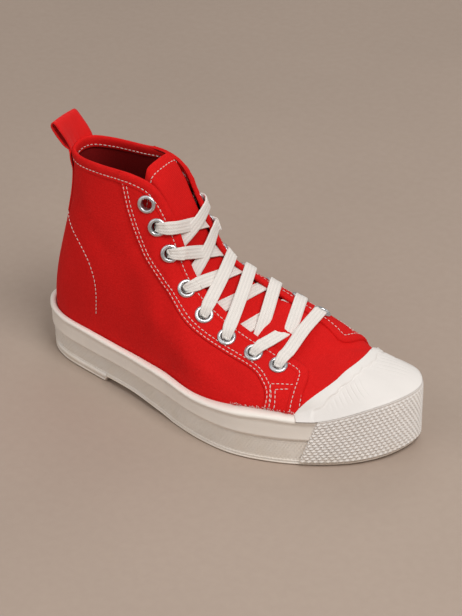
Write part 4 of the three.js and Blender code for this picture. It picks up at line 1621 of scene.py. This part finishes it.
class SNEAKER_OT_eyestays(bpy.types.Operator):
    """Both eyelet overlays"""
    bl_idname = "sneaker.eyestays"
    bl_label = "Eyestays"

    def execute(self, context):
        for side in (-1, 1):
            build_eyestay(side)
        return {"FINISHED"}


class SNEAKER_OT_binding(bpy.types.Operator):
    """Folded band along the collar and facings"""
    bl_idname = "sneaker.binding"
    bl_label = "Edge Fold"

    def execute(self, context):
        build_binding()
        return {"FINISHED"}


class SNEAKER_OT_pull_loop(bpy.types.Operator):
    """Tape up the heel and its loop"""
    bl_idname = "sneaker.pull_loop"
    bl_label = "Pull Loop"

    def execute(self, context):
        build_pull_loop()
        return {"FINISHED"}


class SNEAKER_OT_outsole(bpy.types.Operator):
    """Tread and beaded edge"""
    bl_idname = "sneaker.outsole"
    bl_label = "Outsole"

    def execute(self, context):
        build_outsole()
        return {"FINISHED"}


class SNEAKER_OT_side_band(bpy.types.Operator):
    """Studded and smooth side band"""
    bl_idname = "sneaker.side_band"
    bl_label = "Side Band"

    def execute(self, context):
        build_foxing()
        return {"FINISHED"}


class SNEAKER_OT_bumper(bpy.types.Operator):
    """Studded strip round the toe"""
    bl_idname = "sneaker.bumper"
    bl_label = "Studded Bumper"

    def execute(self, context):
        build_bumper()
        return {"FINISHED"}


class SNEAKER_OT_toe_cap(bpy.types.Operator):
    """Smooth cap with its border and arcs"""
    bl_idname = "sneaker.toe_cap"
    bl_label = "Toe Cap"

    def execute(self, context):
        build_toe_cap()
        return {"FINISHED"}


class SNEAKER_OT_footbed(bpy.types.Operator):
    """Dished footbed"""
    bl_idname = "sneaker.footbed"
    bl_label = "Footbed"

    def execute(self, context):
        build_insole()
        return {"FINISHED"}


class SNEAKER_OT_eyelets(bpy.types.Operator):
    """Sixteen metal rings"""
    bl_idname = "sneaker.eyelets"
    bl_label = "Eyelets"

    def execute(self, context):
        for side in (-1, 1):
            build_eyelets(side)
        return {"FINISHED"}


class SNEAKER_OT_laces(bpy.types.Operator):
    """Flat lace through seven pairs of eyelets"""
    bl_idname = "sneaker.laces"
    bl_label = "Laces"

    def execute(self, context):
        build_laces()
        return {"FINISHED"}


class SNEAKER_OT_stitching(bpy.types.Operator):
    """Rows of white stitches"""
    bl_idname = "sneaker.stitching"
    bl_label = "Stitching"

    def execute(self, context):
        build_stitches()
        return {"FINISHED"}


class SNEAKER_OT_fray(bpy.types.Operator):
    """Loose threads above the side band"""
    bl_idname = "sneaker.fray"
    bl_label = "Frayed Edge"

    def execute(self, context):
        build_fray()
        return {"FINISHED"}


class SNEAKER_PT_panel(bpy.types.Panel):
    """Sizes, colours and every step of the build"""
    bl_label = "Canvas Sneaker"
    bl_space_type = "VIEW_3D"
    bl_region_type = "UI"
    bl_category = "Sneaker"

    def draw(self, context):
        for settings in (context.scene.sneaker_sizes, context.scene.sneaker_colours):
            box = self.layout.box()
            for name in settings.__annotations__:
                box.prop(settings, name)
        for step in STEPS:
            self.layout.operator(step.bl_idname)


STEPS = (
    SNEAKER_OT_stage, SNEAKER_OT_vamp, SNEAKER_OT_quarters, SNEAKER_OT_eyestays,
    SNEAKER_OT_binding, SNEAKER_OT_pull_loop, SNEAKER_OT_outsole, SNEAKER_OT_side_band,
    SNEAKER_OT_bumper, SNEAKER_OT_toe_cap, SNEAKER_OT_footbed, SNEAKER_OT_eyelets,
    SNEAKER_OT_laces, SNEAKER_OT_stitching, SNEAKER_OT_fray,
)
CLASSES = (SneakerSizes, SneakerColours) + STEPS + (SNEAKER_PT_panel,)


def register():
    for one in CLASSES:
        bpy.utils.register_class(one)
    bpy.types.Scene.sneaker_sizes = PointerProperty(type=SneakerSizes)
    bpy.types.Scene.sneaker_colours = PointerProperty(type=SneakerColours)


def unregister():
    del bpy.types.Scene.sneaker_colours
    del bpy.types.Scene.sneaker_sizes
    for one in reversed(CLASSES):
        bpy.utils.unregister_class(one)


def main():
    register()
    for step in STEPS:
        getattr(bpy.ops.sneaker, step.bl_idname.split(".")[1])()
    bpy.context.view_layer.update()


if __name__ == "__main__":
    main()
